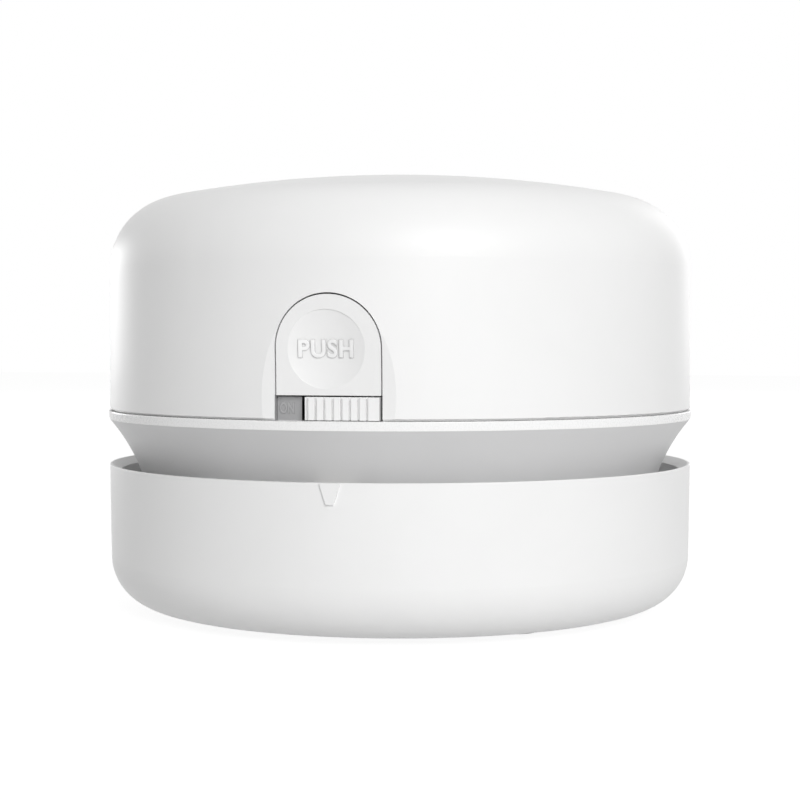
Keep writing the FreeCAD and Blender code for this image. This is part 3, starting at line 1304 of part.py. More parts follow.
def can_section(name, radius, flat, low, high):
    """The motor's round outline with two flats that face -X and +X."""
    return common(name, rod(name + "_round", radius, ("0", "0", low), f"{high} - {low}"),
                  box(name + "_flats", (f"-({flat})", f"-({radius}) - 1", low),
                      (flat, f"({radius}) + 1", high)))


def motor_can():
    outer = can_section("can_outer", "can_radius", "can_flat", COVER, CAN_TOP)
    inner = can_section("can_inner", "can_radius - can_wall", "can_flat - can_wall",
                        f"({COVER} + can_wall)", f"({CAN_TOP} + 1)")
    nose = rod("can_nose", "nose_radius", ("0", "0", f"{COVER} - nose_length"), "nose_length + can_wall")
    bore = rod("can_bore", "bush_radius + press_gap", ("0", "0", f"{COVER} - nose_length - 1"),
               "nose_length + can_wall + 3")
    return cut("motor_can", fused("can_blank", outer, nose), inner, bore)


def motor_cap():
    body = can_section("cap_block", "can_radius", "can_flat", CAN_TOP, MOTOR_TOP)
    hollow = rod("cap_hollow", "magnet_inner - cap_wall", ("0", "0", f"{CAN_TOP} - 1"),
                 "cap_length - cap_wall + 1")
    bore = rod("cap_bore", "bush_radius + press_gap", ("0", "0", CAN_TOP), "cap_length + 1")
    slots = [terminal_blade(f"terminal_slot_{side}", side, "press_gap") for side in (-1, 1)]
    return cut("motor_cap", body, hollow, bore, *slots)


def motor_magnets():
    ring = turned("magnet_ring", [
        ("magnet_inner", f"{COVER} + magnet_at"),
        ("can_radius - can_wall - press_gap", f"{COVER} + magnet_at"),
        ("can_radius - can_wall - press_gap", f"{COVER} + magnet_at + magnet_length"),
        ("magnet_inner", f"{COVER} + magnet_at + magnet_length"),
    ])
    arcs = [
        common(f"magnet_{side}", ring,
               box(f"magnet_limit_{side}",
                   ("-can_flat + can_wall + magnet_trim", f"min(0; {side} * can_radius)", COVER),
                   ("can_flat - can_wall - magnet_trim", f"max(0; {side} * can_radius)", MOTOR_TOP)))
        for side in (-1, 1)
    ]
    return group("motor_magnets", *arcs)


def bush(name, low):
    return turned(name, [
        ("shaft_radius + shaft_gap", low),
        ("bush_radius", low),
        ("bush_radius", f"{low} + bush_length"),
        ("shaft_radius + shaft_gap", f"{low} + bush_length"),
    ])


def motor_bushes():
    return group("motor_bushes", bush("front_bush", f"{COVER} - nose_length + bush_inset"),
                 bush("rear_bush", f"{MOTOR_TOP} - bush_length - bush_inset"))


def motor_shaft():
    low = f"({FLOOR} + fan_gap + hub_rise)"
    return rod("motor_shaft", "shaft_radius", ("0", "0", low), f"{MOTOR_TOP} - shaft_inset - {low}")


def rotor_core():
    low = f"({COVER} + core_at)"
    hub = rod("core_hub_rod", "core_hub", ("0", "0", low), "core_length")
    rim = turned("core_rim", [
        ("core_radius - core_shoe", low), ("core_radius", low),
        ("core_radius", f"{low} + core_length"), ("core_radius - core_shoe", f"{low} + core_length"),
    ])
    arms = [
        radial_box(f"core_arm_{angle}", angle, "core_hub / 2", "core_radius - core_shoe / 2",
                   "core_arm", low, f"{low} + core_length")
        for angle in (90, 210, 330)
    ]
    gaps = [
        radial_box(f"core_gap_{angle}", angle, "core_radius - 2 * core_shoe", "core_radius + 1", "core_slot",
                   f"{low} - 1", f"{low} + core_length + 1")
        for angle in (30, 150, 270)
    ]
    bore = rod("core_bore", "shaft_radius + press_gap", ("0", "0", f"{low} - 1"), "core_length + 2")
    return cut("rotor_core", fused("core_blank", cut("core_shoes", rim, *gaps), hub, *arms), bore)


def rotor_windings():
    """One copper bundle either side of each arm, closed over the core's ends."""
    low = f"({COVER} + core_at)"
    bundles = []
    for angle in (90, 210, 330):
        outer = radial_box(f"winding_outer_{angle}", angle, "winding_inner",
                           "core_radius - core_shoe - winding_clear", "core_arm + 2 * winding_thick",
                           f"{low} - winding_thick", f"{low} + core_length + winding_thick")
        inner = radial_box(f"winding_inner_{angle}", angle, "core_hub / 2", "core_radius",
                           "core_arm + 2 * press_gap", f"{low} - press_gap",
                           f"{low} + core_length + press_gap")
        bundles.append(cut(f"winding_{angle}", outer, inner))
    return group("rotor_windings", *bundles)


def commutator():
    low = f"({COVER} + core_at + core_length + commutator_gap)"
    return turned("commutator", [
        ("shaft_radius + press_gap", low),
        ("commutator_radius", low),
        ("commutator_radius", f"{low} + commutator_length"),
        ("shaft_radius + press_gap", f"{low} + commutator_length"),
    ])


def terminal_blade(name, side, room):
    """One terminal of the motor, or its slot in the end cap where room is more than 0."""
    middle = f"{side} * (can_flat - terminal_inset)"
    return box(name,
               (f"{middle} - terminal_thick / 2 - {room}", f"terminal_at - {room}",
                f"{MOTOR_TOP} - terminal_root"),
               (f"{middle} + terminal_thick / 2 + {room}", f"terminal_at + terminal_width + {room}",
                f"{MOTOR_TOP} + terminal_rise"))


def motor_terminals():
    return group("motor_terminals", *[
        terminal_blade(f"motor_terminal_{side}", side, "0") for side in (-1, 1)
    ])


def motor_damper():
    low = MOTOR_TOP
    pad = box("damper_block", ("-clamp_half", "-can_radius + damper_inset", low),
              ("clamp_half", "can_radius - damper_inset", f"{low} + damper_thick"))
    hole = rod("damper_hole", "bush_radius", ("0", "0", f"{low} - 1"), "damper_thick + 2")
    return cut("motor_damper", pad, hole)


def motor_clamp():
    low = f"({MOTOR_TOP} + damper_thick)"
    bar = box("clamp_bar", ("-clamp_half", "-clamp_post_at - clamp_post_radius", low),
              ("clamp_half", "clamp_post_at + clamp_post_radius", f"{low} + clamp_thick"))
    holes = [
        rod(f"clamp_hole_{side}", "small_shank + shank_gap", ("0", f"{side} * clamp_post_at", f"{low} - 1"),
            "clamp_thick + 2")
        for side in (-1, 1)
    ]
    return cut("motor_clamp", bar, *holes)


def clamp_screws():
    return group("clamp_screws", *[
        small_screw(f"clamp_screw_{side}", "0", f"{side} * clamp_post_at",
                    f"{MOTOR_TOP} + damper_thick + clamp_thick", "clamp_thick + small_bite")
        for side in (-1, 1)
    ])


# ---------------------------------------------------------------------------------------------
# Battery, board and leads
# ---------------------------------------------------------------------------------------------
def battery_cells():
    cells = []
    for side in (-1, 1):
        can = rod(f"cell_can_{side}", "cell_radius",
                  (f"{side} * cell_at", "-cell_length / 2", CELL_AXIS), "cell_length - cell_nub", "y")
        button = rod(f"cell_button_{side}", "cell_nub_radius",
                     (f"{side} * cell_at", "cell_length / 2 - 2 * cell_nub", CELL_AXIS), "2 * cell_nub", "y")
        cells.append(fused(f"cell_{side}", can, button))
    return group("battery_cells", *cells)


def battery_tray():
    low = f"({COVER} + tray_base)"
    end = "(cell_length / 2 + cell_gap + tray_wall)"
    trays = []
    for side in (-1, 1):
        middle = f"{side} * cell_at"
        block = box(f"tray_block_{side}", (f"{middle} - tray_half", f"-{end}", low),
                    (f"{middle} + tray_half", end, f"{low} + tray_height"))
        bed = rod(f"tray_bed_{side}", "cell_radius + cell_gap",
                  (middle, "-cell_length / 2 - cell_gap", CELL_AXIS), "cell_length + 2 * cell_gap", "y")
        feet = [
            box(f"tray_foot_{side}_{place}",
                (f"{middle} - tray_foot", f"{place} * tray_foot_at - tray_foot", COVER),
                (f"{middle} + tray_foot", f"{place} * tray_foot_at + tray_foot", f"{low} + bridge_thick"))
            for place in (-1, 1)
        ]
        trays.append(cut(f"tray_{side}", fused(f"tray_blank_{side}", block, *feet), bed))
    bridges = [
        box(f"tray_bridge_{place}",
            ("-cell_at", f"{place} * bridge_at - bridge_half", low),
            ("cell_at", f"{place} * bridge_at + bridge_half", f"{low} + bridge_thick"))
        for place in (-1, 1)
    ]
    return fused("battery_tray", *trays, *bridges)


def cell_straps():
    low = f"({COVER} + tray_base + tray_height + tab_rise)"
    high = f"({low} + 2 * tab_half)"
    edge = "cell_length / 2"
    link = box("cell_link", ("-cell_at - tab_half", edge, low),
               ("cell_at + tab_half", f"{edge} + tab_thick", high))
    tabs = [
        box(f"cell_tab_{side}",
            (f"{side} * cell_at - tab_half", f"-{edge} - tab_thick", low),
            (f"{side} * cell_at + tab_half", f"-{edge}", high))
        for side in (-1, 1)
    ]
    return group("cell_straps", link, *tabs)


def control_board():
    low = f"({COVER} + board_rise)"
    plate = box("board_plate", ("-board_half", "board_front", low),
                ("board_half", "board_front + board_length", BOARD_TOP))
    holes = [
        rod(f"board_hole_{side}", "small_shank + shank_gap",
            (f"{side} * board_screw_x", "board_screw_y", f"{low} - 1"), "board_thick + 2")
        for side in (-1, 1)
    ]
    return cut("control_board", plate, *holes)


def board_parts():
    chip = box("charge_chip", ("-chip_half", "board_front + chip_at", BOARD_TOP),
               ("chip_half", "board_front + chip_at + 2 * chip_half", f"{BOARD_TOP} + chip_height"))
    coil = rod("board_coil", "coil_radius", ("0", "board_front + coil_at", BOARD_TOP), "coil_height")
    capacitors = [
        box(f"board_capacitor_{side}",
            (f"{side} * capacitor_x - capacitor_half", "board_front + capacitor_at", BOARD_TOP),
            (f"{side} * capacitor_x + capacitor_half", "board_front + capacitor_at + capacitor_length",
             f"{BOARD_TOP} + capacitor_height"))
        for side in (-1, 1)
    ]
    lamp_front = "(board_front + board_length - lamp_chip_at)"
    lamp_block = box("lamp_block", ("lamp_x - lamp_chip / 2", lamp_front, BOARD_TOP),
                     ("lamp_x + lamp_chip / 2", f"{lamp_front} + lamp_chip", f"{BOARD_TOP} + coil_height"))
    return group("board_parts", chip, coil, *capacitors, lamp_block)


def board_screws():
    return group("board_screws", *[
        small_screw(f"board_screw_{side}", f"{side} * board_screw_x", "board_screw_y", BOARD_TOP,
                    "board_thick + small_bite")
        for side in (-1, 1)
    ])


def charge_socket():
    back = "(socket_end - socket_length)"
    middle = f"({BOARD_TOP} + socket_height / 2)"
    shell = box("socket_shell", ("-socket_width / 2", back, BOARD_TOP),
                ("socket_width / 2", "socket_end", f"{BOARD_TOP} + socket_height"))
    hollow = box("socket_hollow",
                 ("-socket_width / 2 + socket_wall", f"{back} + socket_floor", f"{BOARD_TOP} + socket_wall"),
                 ("socket_width / 2 - socket_wall", "socket_end + 1",
                  f"{BOARD_TOP} + socket_height - socket_wall"))
    tongue = box("socket_tongue",
                 ("-socket_width / 2 + tongue_side", f"{back} + socket_floor / 2",
                  f"{middle} - tongue_thick / 2"),
                 ("socket_width / 2 - tongue_side", "socket_end - tongue_inset",
                  f"{middle} + tongue_thick / 2"))
    return fused("charge_socket", cut("socket_tube", shell, hollow), tongue)


def charge_lamp():
    lamp_foot = "(board_front + board_length - lamp_root)"
    return rod("charge_lamp", "lamp_radius",
               ("lamp_x", lamp_foot, f"{BOARD_TOP} + socket_height / 2"),
               f"sqrt(shell_radius^2 - lamp_x^2) - lamp_inset - {lamp_foot}", "y")


def lead(name, points):
    """A round wire along straight runs with rounded corners, its radius and bend from the sheet."""
    places = [Vector(*[number(text) for text in point]) for point in points]
    bend = number("lead_bend")
    edges = []
    start = places[0]
    for before, corner, after in zip(places, places[1:], places[2:]):
        into = (corner - before).normalize()
        out = (after - corner).normalize()
        half = into.getAngle(out) / 2
        reach = bend * math.tan(half)
        first, last = corner - into * reach, corner + out * reach
        inward = (out - into).normalize()
        middle = corner + inward * (bend / math.cos(half) - bend)
        edges.append(Part.LineSegment(start, first).toShape())
        edges.append(Part.Arc(first, middle, last).toShape())
        start = last
    edges.append(Part.LineSegment(start, places[-1]).toShape())
    path = Part.Wire(edges)
    ring = Part.Wire(Part.Circle(places[0], places[1] - places[0], number("lead_radius")).toShape())
    wire = doc.addObject("Part::Feature", name)
    wire.Shape = path.makePipeShell([ring], True, True)
    return wire


def motor_leads():
    high = f"{MOTOR_TOP} + lead_rise"
    return group("motor_leads", *[
        lead(f"motor_lead_{side}", [
            (f"{side} * (can_flat - terminal_inset)", "board_front + motor_lead_at", BOARD_TOP),
            (f"{side} * (can_flat - terminal_inset)", "board_front + motor_lead_at", high),
            (f"{side} * (can_flat - terminal_inset)", "terminal_at + terminal_width + lead_gap", high),
        ])
        for side in (-1, 1)
    ])


def battery_leads():
    high = f"{CELL_AXIS} + cell_radius + lead_over"
    front = "-cell_length / 2 - tab_thick - lead_radius"
    start = f"{COVER} + tray_base + tray_height + tab_rise + battery_lead_foot"
    return group("battery_leads", *[
        lead(f"battery_lead_{side}", [
            (f"{side} * cell_at", front, start),
            (f"{side} * cell_at", front, high),
            (f"{side} * (board_half - battery_lead_in)", "board_front + battery_lead_at", high),
            (f"{side} * (board_half - battery_lead_in)", "board_front + battery_lead_at", BOARD_TOP),
        ])
        for side in (-1, 1)
    ])


def switch_leads():
    across = "(board_half - switch_lead_in)"
    back = "-switch_front + switch_depth"
    top = f"({COVER} + board_rise + board_thick / 2)"
    lower = f"{top} - 2 * lead_radius - lead_gap"
    return group("switch_leads",
                 lead("switch_lead_upper", [(across, back, top), (across, "board_front", top)]),
                 lead("switch_lead_lower", [
                     (across, back, lower),
                     (across, "board_front + switch_lead_end", lower),
                 ]))


BUILDERS = (
    dust_bowl, intake_duct, brush_ring, bristle_tufts, glide_feet,
    filter_frame, filter_screen, filter_cloth,
    chassis, cup_seal, case_screws, upper_shell,
    push_button, button_stem, button_spring, button_bracket, latch_tongue, latch_screw,
    power_slider, switch_lever, slide_switch,
    fan_cover, cover_screws, impeller, motor_shaft, motor_can, motor_cap, motor_magnets, motor_bushes,
    rotor_core, rotor_windings, commutator, motor_terminals, motor_damper, motor_clamp, clamp_screws,
    battery_cells, battery_tray, cell_straps,
    control_board, board_parts, board_screws, charge_socket, charge_lamp,
    motor_leads, battery_leads, switch_leads,
)


def build_all():
    nodes = {}
    for build in BUILDERS:
        node = build()
        node.Label = build.__name__
        nodes[node.Label] = node
    doc.recompute()
    for item in doc.Objects:
        if "Invalid" in item.State or "Error" in item.State:
            raise RuntimeError(f"{item.Name} failed: {item.State}")
    for label, node in nodes.items():
        if node.Shape.isNull() or not node.Shape.isValid():
            raise RuntimeError(f"{label} has no valid shape")
    return nodes


os.makedirs("parts", exist_ok=True)
for label, node in build_all().items():
    node.Shape.exportStep(f"parts/{label}.step")
    print(f"{label:18s} {len(node.Shape.Solids):3d} solids {node.Shape.Volume:10.1f} mm3")
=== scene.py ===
"""Dresses a desktop mini vacuum cleaner and sets it in a plain studio.

The moulded cases, the motor and the electrics come as fixed nodes and get their finishes here. Bristles, the
pleated filter cloth, the woven screen, the button's spring, the latch with its cuts and the raised letters
are modelled here. Lengths are in metres, and the button faces -Y.
"""

import json
import math
import random

import bmesh
import bpy
from mathutils import Matrix, Vector

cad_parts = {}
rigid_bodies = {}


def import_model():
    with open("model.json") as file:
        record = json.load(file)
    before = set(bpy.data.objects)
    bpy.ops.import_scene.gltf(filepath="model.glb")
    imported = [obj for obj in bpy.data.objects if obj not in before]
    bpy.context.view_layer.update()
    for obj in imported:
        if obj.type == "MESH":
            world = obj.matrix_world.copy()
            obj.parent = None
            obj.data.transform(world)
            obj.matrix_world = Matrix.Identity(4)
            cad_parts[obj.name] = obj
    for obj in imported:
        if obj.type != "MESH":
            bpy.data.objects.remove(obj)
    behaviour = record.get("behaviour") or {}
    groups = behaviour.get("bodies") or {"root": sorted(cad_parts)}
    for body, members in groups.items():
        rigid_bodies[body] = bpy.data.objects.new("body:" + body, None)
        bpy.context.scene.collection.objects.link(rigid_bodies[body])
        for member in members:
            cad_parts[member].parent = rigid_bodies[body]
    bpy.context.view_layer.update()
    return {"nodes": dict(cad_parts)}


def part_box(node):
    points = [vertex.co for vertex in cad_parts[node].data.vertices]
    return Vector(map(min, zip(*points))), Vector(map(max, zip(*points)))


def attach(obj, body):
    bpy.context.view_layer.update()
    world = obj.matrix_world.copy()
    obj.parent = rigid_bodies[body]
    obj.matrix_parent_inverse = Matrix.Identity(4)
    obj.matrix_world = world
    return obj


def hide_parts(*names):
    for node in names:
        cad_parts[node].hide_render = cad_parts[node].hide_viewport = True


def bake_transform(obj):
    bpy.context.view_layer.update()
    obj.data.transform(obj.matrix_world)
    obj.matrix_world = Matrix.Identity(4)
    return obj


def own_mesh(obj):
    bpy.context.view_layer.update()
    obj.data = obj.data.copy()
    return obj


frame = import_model()
NODES = frame["nodes"]
MM = 0.001

# Where a colour ends on the cases: the band's lower and upper edge, the bed's sides and back, the top and the
# back of the painted shade on the cheeks beside the slider, and how far a cheek's painted shade reaches into
# its wall.
BAND_FOOT = 27.76 * MM
BAND_TOP = 28.975 * MM
BED_SIDE = 7.175 * MM
BED_BACK = -38.925 * MM
CHEEK_TOP = 32.225 * MM
CHEEK_BACK = -39.025 * MM
CHEEK_SKIN = 0.025 * MM

# Where rays start that look for a surface: in the slider's opening, before the bed, and before the cleaner.
IN_OPENING = Vector((0.0, -40.6 * MM, 30.5 * MM))
BEFORE_BED = Vector((-6.6 * MM, -60 * MM, 30.0 * MM))
BEFORE_ALL = -60 * MM

TUFTS = 24
LATCH_CUTS = range(19, 33)

# Each lamp's name, the setting of its power, its size across and up, and its place, and what all lamps face.
LAMPS = (
    ("key_lamp", "key_power", (0.55, 0.55), (0.51, -0.87, 0.475)),
    ("top_lamp", "top_power", (0.90, 0.90), (-0.05, 0.15, 1.05)),
    ("left_edge_lamp", "left_power", (0.30, 0.22), (-0.78, 0.63, 0.12)),
    ("right_edge_lamp", "right_power", (0.26, 0.50), (0.30, 0.95, 0.26)),
)
LAMP_AIM = Vector((0.0, 0.0, 0.03))

bl_info = {
    "name": "Desktop Mini Vacuum Cleaner",
    "version": (1, 0, 0),
    "blender": (4, 5, 0),
    "location": "3D View > Sidebar > Mini Vacuum",
    "description": "Dresses a desktop mini vacuum cleaner and sets its studio",
    "category": "Object",
}


# ---------------------------------------------------------------------------------------------
# What a user may change
# ---------------------------------------------------------------------------------------------
def length(name, description, default):
    return bpy.props.FloatProperty(name=name, description=description, default=default, min=0.0,
                                   unit="LENGTH", precision=5)


def offset(name, description, default):
    """A length that may lie on either side of its zero."""
    return bpy.props.FloatProperty(name=name, description=description, default=default, unit="LENGTH",
                                   precision=5)


def rotation(name, description, degrees):
    return bpy.props.FloatProperty(name=name, description=description, default=math.radians(degrees),
                                   subtype="ANGLE")


def wattage(name, description, default):
    return bpy.props.FloatProperty(name=name, description=description, default=default, min=0.0,
                                   unit="POWER")


def share(name, description, default, most=1.0):
    return bpy.props.FloatProperty(name=name, description=description, default=default, min=0.0,
                                   max=most, subtype="FACTOR")


def count(name, description, default):
    return bpy.props.IntProperty(name=name, description=description, default=default, min=1)


def colour(name, description, default):
    return bpy.props.FloatVectorProperty(name=name, description=description, default=default, size=3,
                                         min=0.0, max=1.0, subtype="COLOR")


class VacuumSizes(bpy.types.PropertyGroup):
    """Sizes of the pieces that are modelled here"""

    push_height: length("PUSH height", "Height of the raised word on the button", 2.38 * MM)
    push_width: length("PUSH width", "Width of the raised word on the button", 7.16 * MM)
    push_side: offset("PUSH side", "Middle of the word beside the middle plane", -0.36 * MM)
    push_rise: length("PUSH level", "Middle of the word above the table", 38.02 * MM)
    push_relief: length("PUSH relief", "How far the word stands out of the dimple", 0.22 * MM)
    on_height: length("ON height", "Height of the word beside the slider", 1.5 * MM)
    on_width: length("ON width", "Width of the word beside the slider", 1.95 * MM)
    on_side: offset("ON side", "Middle of the word beside the middle plane", -5.62 * MM)
    on_rise: length("ON level", "Middle of the word above the table", 30.53 * MM)
    on_relief: length("ON relief", "How far the word stands out of its bed", 0.1 * MM)
    bristle_radius: length("Bristle", "Radius of one bristle at its root", 0.085 * MM)
    bristle_rings: count("Bristle rings", "Rings of bristles in one tuft", 3)
    cloth_pitch: length("Pleat", "Width of one pleat of the filter cloth", 3.3 * MM)
    cloth_thickness: length("Cloth", "Thickness of the filter cloth", 0.3 * MM)
    screen_pitch: length("Screen pitch", "From one wire of the screen to the next", 1.15 * MM)
    screen_wire: length("Screen wire", "Radius of the screen's wire", 0.09 * MM)
    spring_coil: length("Spring coil", "Radius of the button's spring at the middle of its wire", 2.75 * MM)
    spring_wire: length("Spring wire", "Radius of the spring's wire", 0.25 * MM)
    spring_turns: count("Spring turns", "Open turns of the spring between its closed ends", 5)


class VacuumColours(bpy.types.PropertyGroup):
    """Colours of the plastics, rubbers, cloth and metals"""

    white: colour("White cases", "Satin white of the shell, bowl and button", (0.86, 0.86, 0.858))
    band: colour("Band", "Brighter white of the band under the shell", (0.90, 0.90, 0.898))
    neck: colour("Neck", "Pale grey of the waist between band and bowl", (0.70, 0.70, 0.703))
    bed: colour("Slider bed", "Grey of the bed that carries the word ON", (0.36, 0.36, 0.365))
    inner: colour("Inner plastic", "Light grey of the parts inside", (0.47, 0.48, 0.49))
    dark: colour("Dark plastic", "Dark grey of the motor's cap and clamp", (0.045, 0.047, 0.052))
    fan: colour("Fan", "White nylon of the impeller", (0.74, 0.75, 0.76))
    latch: colour("Latch", "Unpainted white acetal of the latch and stem", (0.78, 0.77, 0.74))
    filter: colour("Filter frame", "Mid grey of the filter's frame", (0.24, 0.25, 0.27))
    cloth: colour("Filter cloth", "Off-white of the pleated cloth", (0.80, 0.80, 0.77))
    bristle: colour("Bristles", "Pale grey nylon bristles", (0.52, 0.53, 0.55))
    rubber: colour("Feet", "Grey rubber of the glide feet", (0.30, 0.30, 0.31))
    seal: colour("Seal", "Dark rubber of the bowl's seal", (0.05, 0.05, 0.052))
    cell: colour("Battery wrap", "Shrunk film round the cells", (0.035, 0.20, 0.42))
    board: colour("Board", "Green lacquer of the control board", (0.012, 0.115, 0.045))
    wire_red: colour("Red lead", "Red sleeve of the leads", (0.50, 0.018, 0.014))
    wire_black: colour("Black lead", "Black sleeve of the leads", (0.018, 0.018, 0.019))


class VacuumStudio(bpy.types.PropertyGroup):
    """Camera, lamps and floor"""

    camera_distance: length("Camera distance", "Camera from the cleaner's axis", 259.67 * MM)
    camera_height: length("Camera height", "Camera above the table", 39.41 * MM)
    camera_turn: rotation("Camera turn", "Camera round the cleaner, from its front", 12.5)
    camera_dip: rotation("Camera dip", "How far the camera looks down", 2.04)
    lens: bpy.props.FloatProperty(name="Lens", description="Focal length on a 36 mm sensor", default=79.05,
                                  min=1.0, unit="CAMERA")
    ambient: share("Ambient", "Light from the pale room", 0.33, 5.0)
    key_power: wattage("Key lamp", "Soft lamp before the cleaner, to the right", 7.5)
    top_power: wattage("Top lamp", "Soft lamp above the cleaner", 1.35)
    left_power: wattage("Left edge lamp", "Lamp behind the cleaner, to the left", 1.7)
    right_power: wattage("Right edge lamp", "Lamp behind the cleaner, to the right", 1.1)
    floor: share("Floor", "How pale the floor is for the light that falls on it", 0.80)
    glow: share("Floor glow", "How bright the floor is where no shadow falls", 1.12, 3.0)
    shadow: share("Shadow", "How much of the cleaner's shadow the floor shows", 0.18)


# ---------------------------------------------------------------------------------------------
# Finishes
# ---------------------------------------------------------------------------------------------
class Finish:
    """One procedural material: a Principled shader and the patterns that feed it."""

    def __init__(self, name, **sockets):
        self.material = bpy.data.materials.new(name)
        self.material.use_nodes = True
        self.tree = self.material.node_tree
        self.tree.nodes.clear()
        self.shader = self.node("ShaderNodeBsdfPrincipled", **sockets)
        out = self.node("ShaderNodeOutputMaterial")
        self.tree.links.new(self.shader.outputs["BSDF"], out.inputs["Surface"])
        self.place = self.node("ShaderNodeTexCoord").outputs["Object"]

    def node(self, kind, **values):
        made = self.tree.nodes.new(kind)
        for key, value in values.items():
            socket = key.replace("_", " ")
            if socket in made.inputs:
                made.inputs[socket].default_value = value
            else:
                setattr(made, key, value)
        return made

    def feed(self, socket, output):
        self.tree.links.new(output, self.shader.inputs[socket])

    def scaled(self, across, along, up):
        """The place on the piece, with each direction drawn out or pressed together."""
        mapping = self.node("ShaderNodeMapping", Scale=(across, along, up))
        self.tree.links.new(self.place, mapping.inputs["Vector"])
        return mapping.outputs["Vector"]

    def noise(self, scale, detail=2.0, roughness=0.5, place=None, distortion=0.0):
        made = self.node("ShaderNodeTexNoise", Scale=scale, Detail=detail, Roughness=roughness,
                         Distortion=distortion)
        self.tree.links.new(place or self.place, made.inputs["Vector"])
        return made.outputs["Fac"]

    def cells(self, scale, feature="F1", place=None):
        made = self.node("ShaderNodeTexVoronoi", Scale=scale, feature=feature)
        self.tree.links.new(place or self.place, made.inputs["Vector"])
        return made.outputs["Distance"]

    def bands(self, scale, direction, distortion=0.0, place=None):
        made = self.node("ShaderNodeTexWave", Scale=scale, Distortion=distortion, bands_direction=direction)
        self.tree.links.new(place or self.place, made.inputs["Vector"])
        return made.outputs["Fac"]

    def level(self, output, low, high, from_low=0.3, from_high=0.7):
        made = self.node("ShaderNodeMapRange")
        for socket, value in (("From Min", from_low), ("From Max", from_high),
                              ("To Min", low), ("To Max", high)):
            made.inputs[socket].default_value = value
        self.tree.links.new(output, made.inputs["Value"])
        return made.outputs["Result"]

    def height(self, low, high, direction="Z"):
        """0 below low and 1 above high, by the place on the piece."""
        split = self.node("ShaderNodeSeparateXYZ")
        self.tree.links.new(self.place, split.inputs["Vector"])
        return self.level(split.outputs[direction], 0.0, 1.0, low, high)

    def beyond(self, edge, blur, direction="Z"):
        """1 beyond the edge and 0 before it, or the other way round where blur is negative."""
        return self.height(edge - blur, edge + blur, direction)

    def mixed(self, share_output, first, second):
        made = self.node("ShaderNodeMix", data_type="RGBA")
        self.tree.links.new(share_output, made.inputs[0])
        for socket, value in ((6, first), (7, second)):
            if isinstance(value, bpy.types.NodeSocket):
                self.tree.links.new(value, made.inputs[socket])
            else:
                made.inputs[socket].default_value = (*value, 1.0)
        return made.outputs[2]

    def sum(self, first, second, operation="ADD"):
        made = self.node("ShaderNodeMath", operation=operation)
        for socket, value in ((0, first), (1, second)):
            if isinstance(value, bpy.types.NodeSocket):
                self.tree.links.new(value, made.inputs[socket])
            else:
                made.inputs[socket].default_value = value
        return made.outputs[0]

    def relief(self, output, depth, strength=1.0):
        """Feeds the shader's normal, on top of the relief that already feeds it."""
        made = self.node("ShaderNodeBump", Distance=depth, Strength=strength)
        self.tree.links.new(output, made.inputs["Height"])
        already = self.shader.inputs["Normal"].links
        if already:
            self.tree.links.new(already[0].from_socket, made.inputs["Normal"])
        self.feed("Normal", made.outputs["Normal"])


def shade(tone, factor):
    return tuple(min(1.0, channel * factor) for channel in tone)


def satin_abs(name, tone, roughness=0.46, grain=1.0):
    """Moulded ABS with a fine spark-eroded grain, a faint flow of the melt and a slightly uneven sheen."""
    finish = Finish(name, IOR=1.49)
    flow = finish.noise(38, 3.0, 0.55, distortion=0.8)
    finish.feed("Base Color", finish.mixed(finish.level(flow, 0.0, 1.0), shade(tone, 0.982),
                                           shade(tone, 1.01)))
    fine = finish.noise(5200, 3.0, 0.6)
    sheen = finish.sum(finish.level(flow, -0.03, 0.03),
                       finish.level(fine, roughness - 0.04, roughness + 0.04))
    finish.feed("Roughness", sheen)
    finish.relief(finish.noise(900, 2.0), 3e-6, 0.4 * grain)
    finish.relief(fine, 3e-6, 0.6 * grain)
    return finish


def shell_abs(colours):
    """The shell's satin white, with the bed's grey painted on the white cheeks of its opening as painted
    shade in the recess.
    """
    finish = satin_abs("shell_abs", colours.white)
    _, cheek, _, _ = NODES["upper_shell"].ray_cast(IN_OPENING, Vector((-1.0, 0.0, 0.0)))
    # Painted shade: the shell's cheek walls beside the slider, in front of CHEEK_BACK and below CHEEK_TOP,
    # take the bed's grey.
    inside = finish.beyond(CHEEK_BACK, -0.025 * MM, "Y")
    for edge, blur, direction in ((cheek.x - CHEEK_SKIN, 0.005 * MM, "X"),
                                  (CHEEK_SKIN - cheek.x, -0.005 * MM, "X"),
                                  (CHEEK_TOP, -0.025 * MM, "Z")):
        inside = finish.sum(inside, finish.beyond(edge, blur, direction), "MULTIPLY")
    white = finish.shader.inputs["Base Color"].links[0].from_socket
    finish.feed("Base Color", finish.mixed(inside, white, colours.bed))
    return finish


def lettering(name, tone, foot_shade):
    """Moulded letters in the given tone, darker where each letter meets its surface as painted shade."""
    finish = satin_abs(name, tone, 0.42)
    rise = finish.node("ShaderNodeSeparateXYZ")
    finish.tree.links.new(finish.node("ShaderNodeUVMap", uv_map="rise").outputs["UV"], rise.inputs["Vector"])
    # Painted shade: the colour darkens towards the letter's base, where the rise UV is low.
    unshaded_face = finish.level(rise.outputs["X"], 0.0, 1.0, 0.55, 0.98)
    face = finish.shader.inputs["Base Color"].links[0].from_socket
    finish.feed("Base Color", finish.mixed(unshaded_face, shade(tone, foot_shade), face))
    return finish


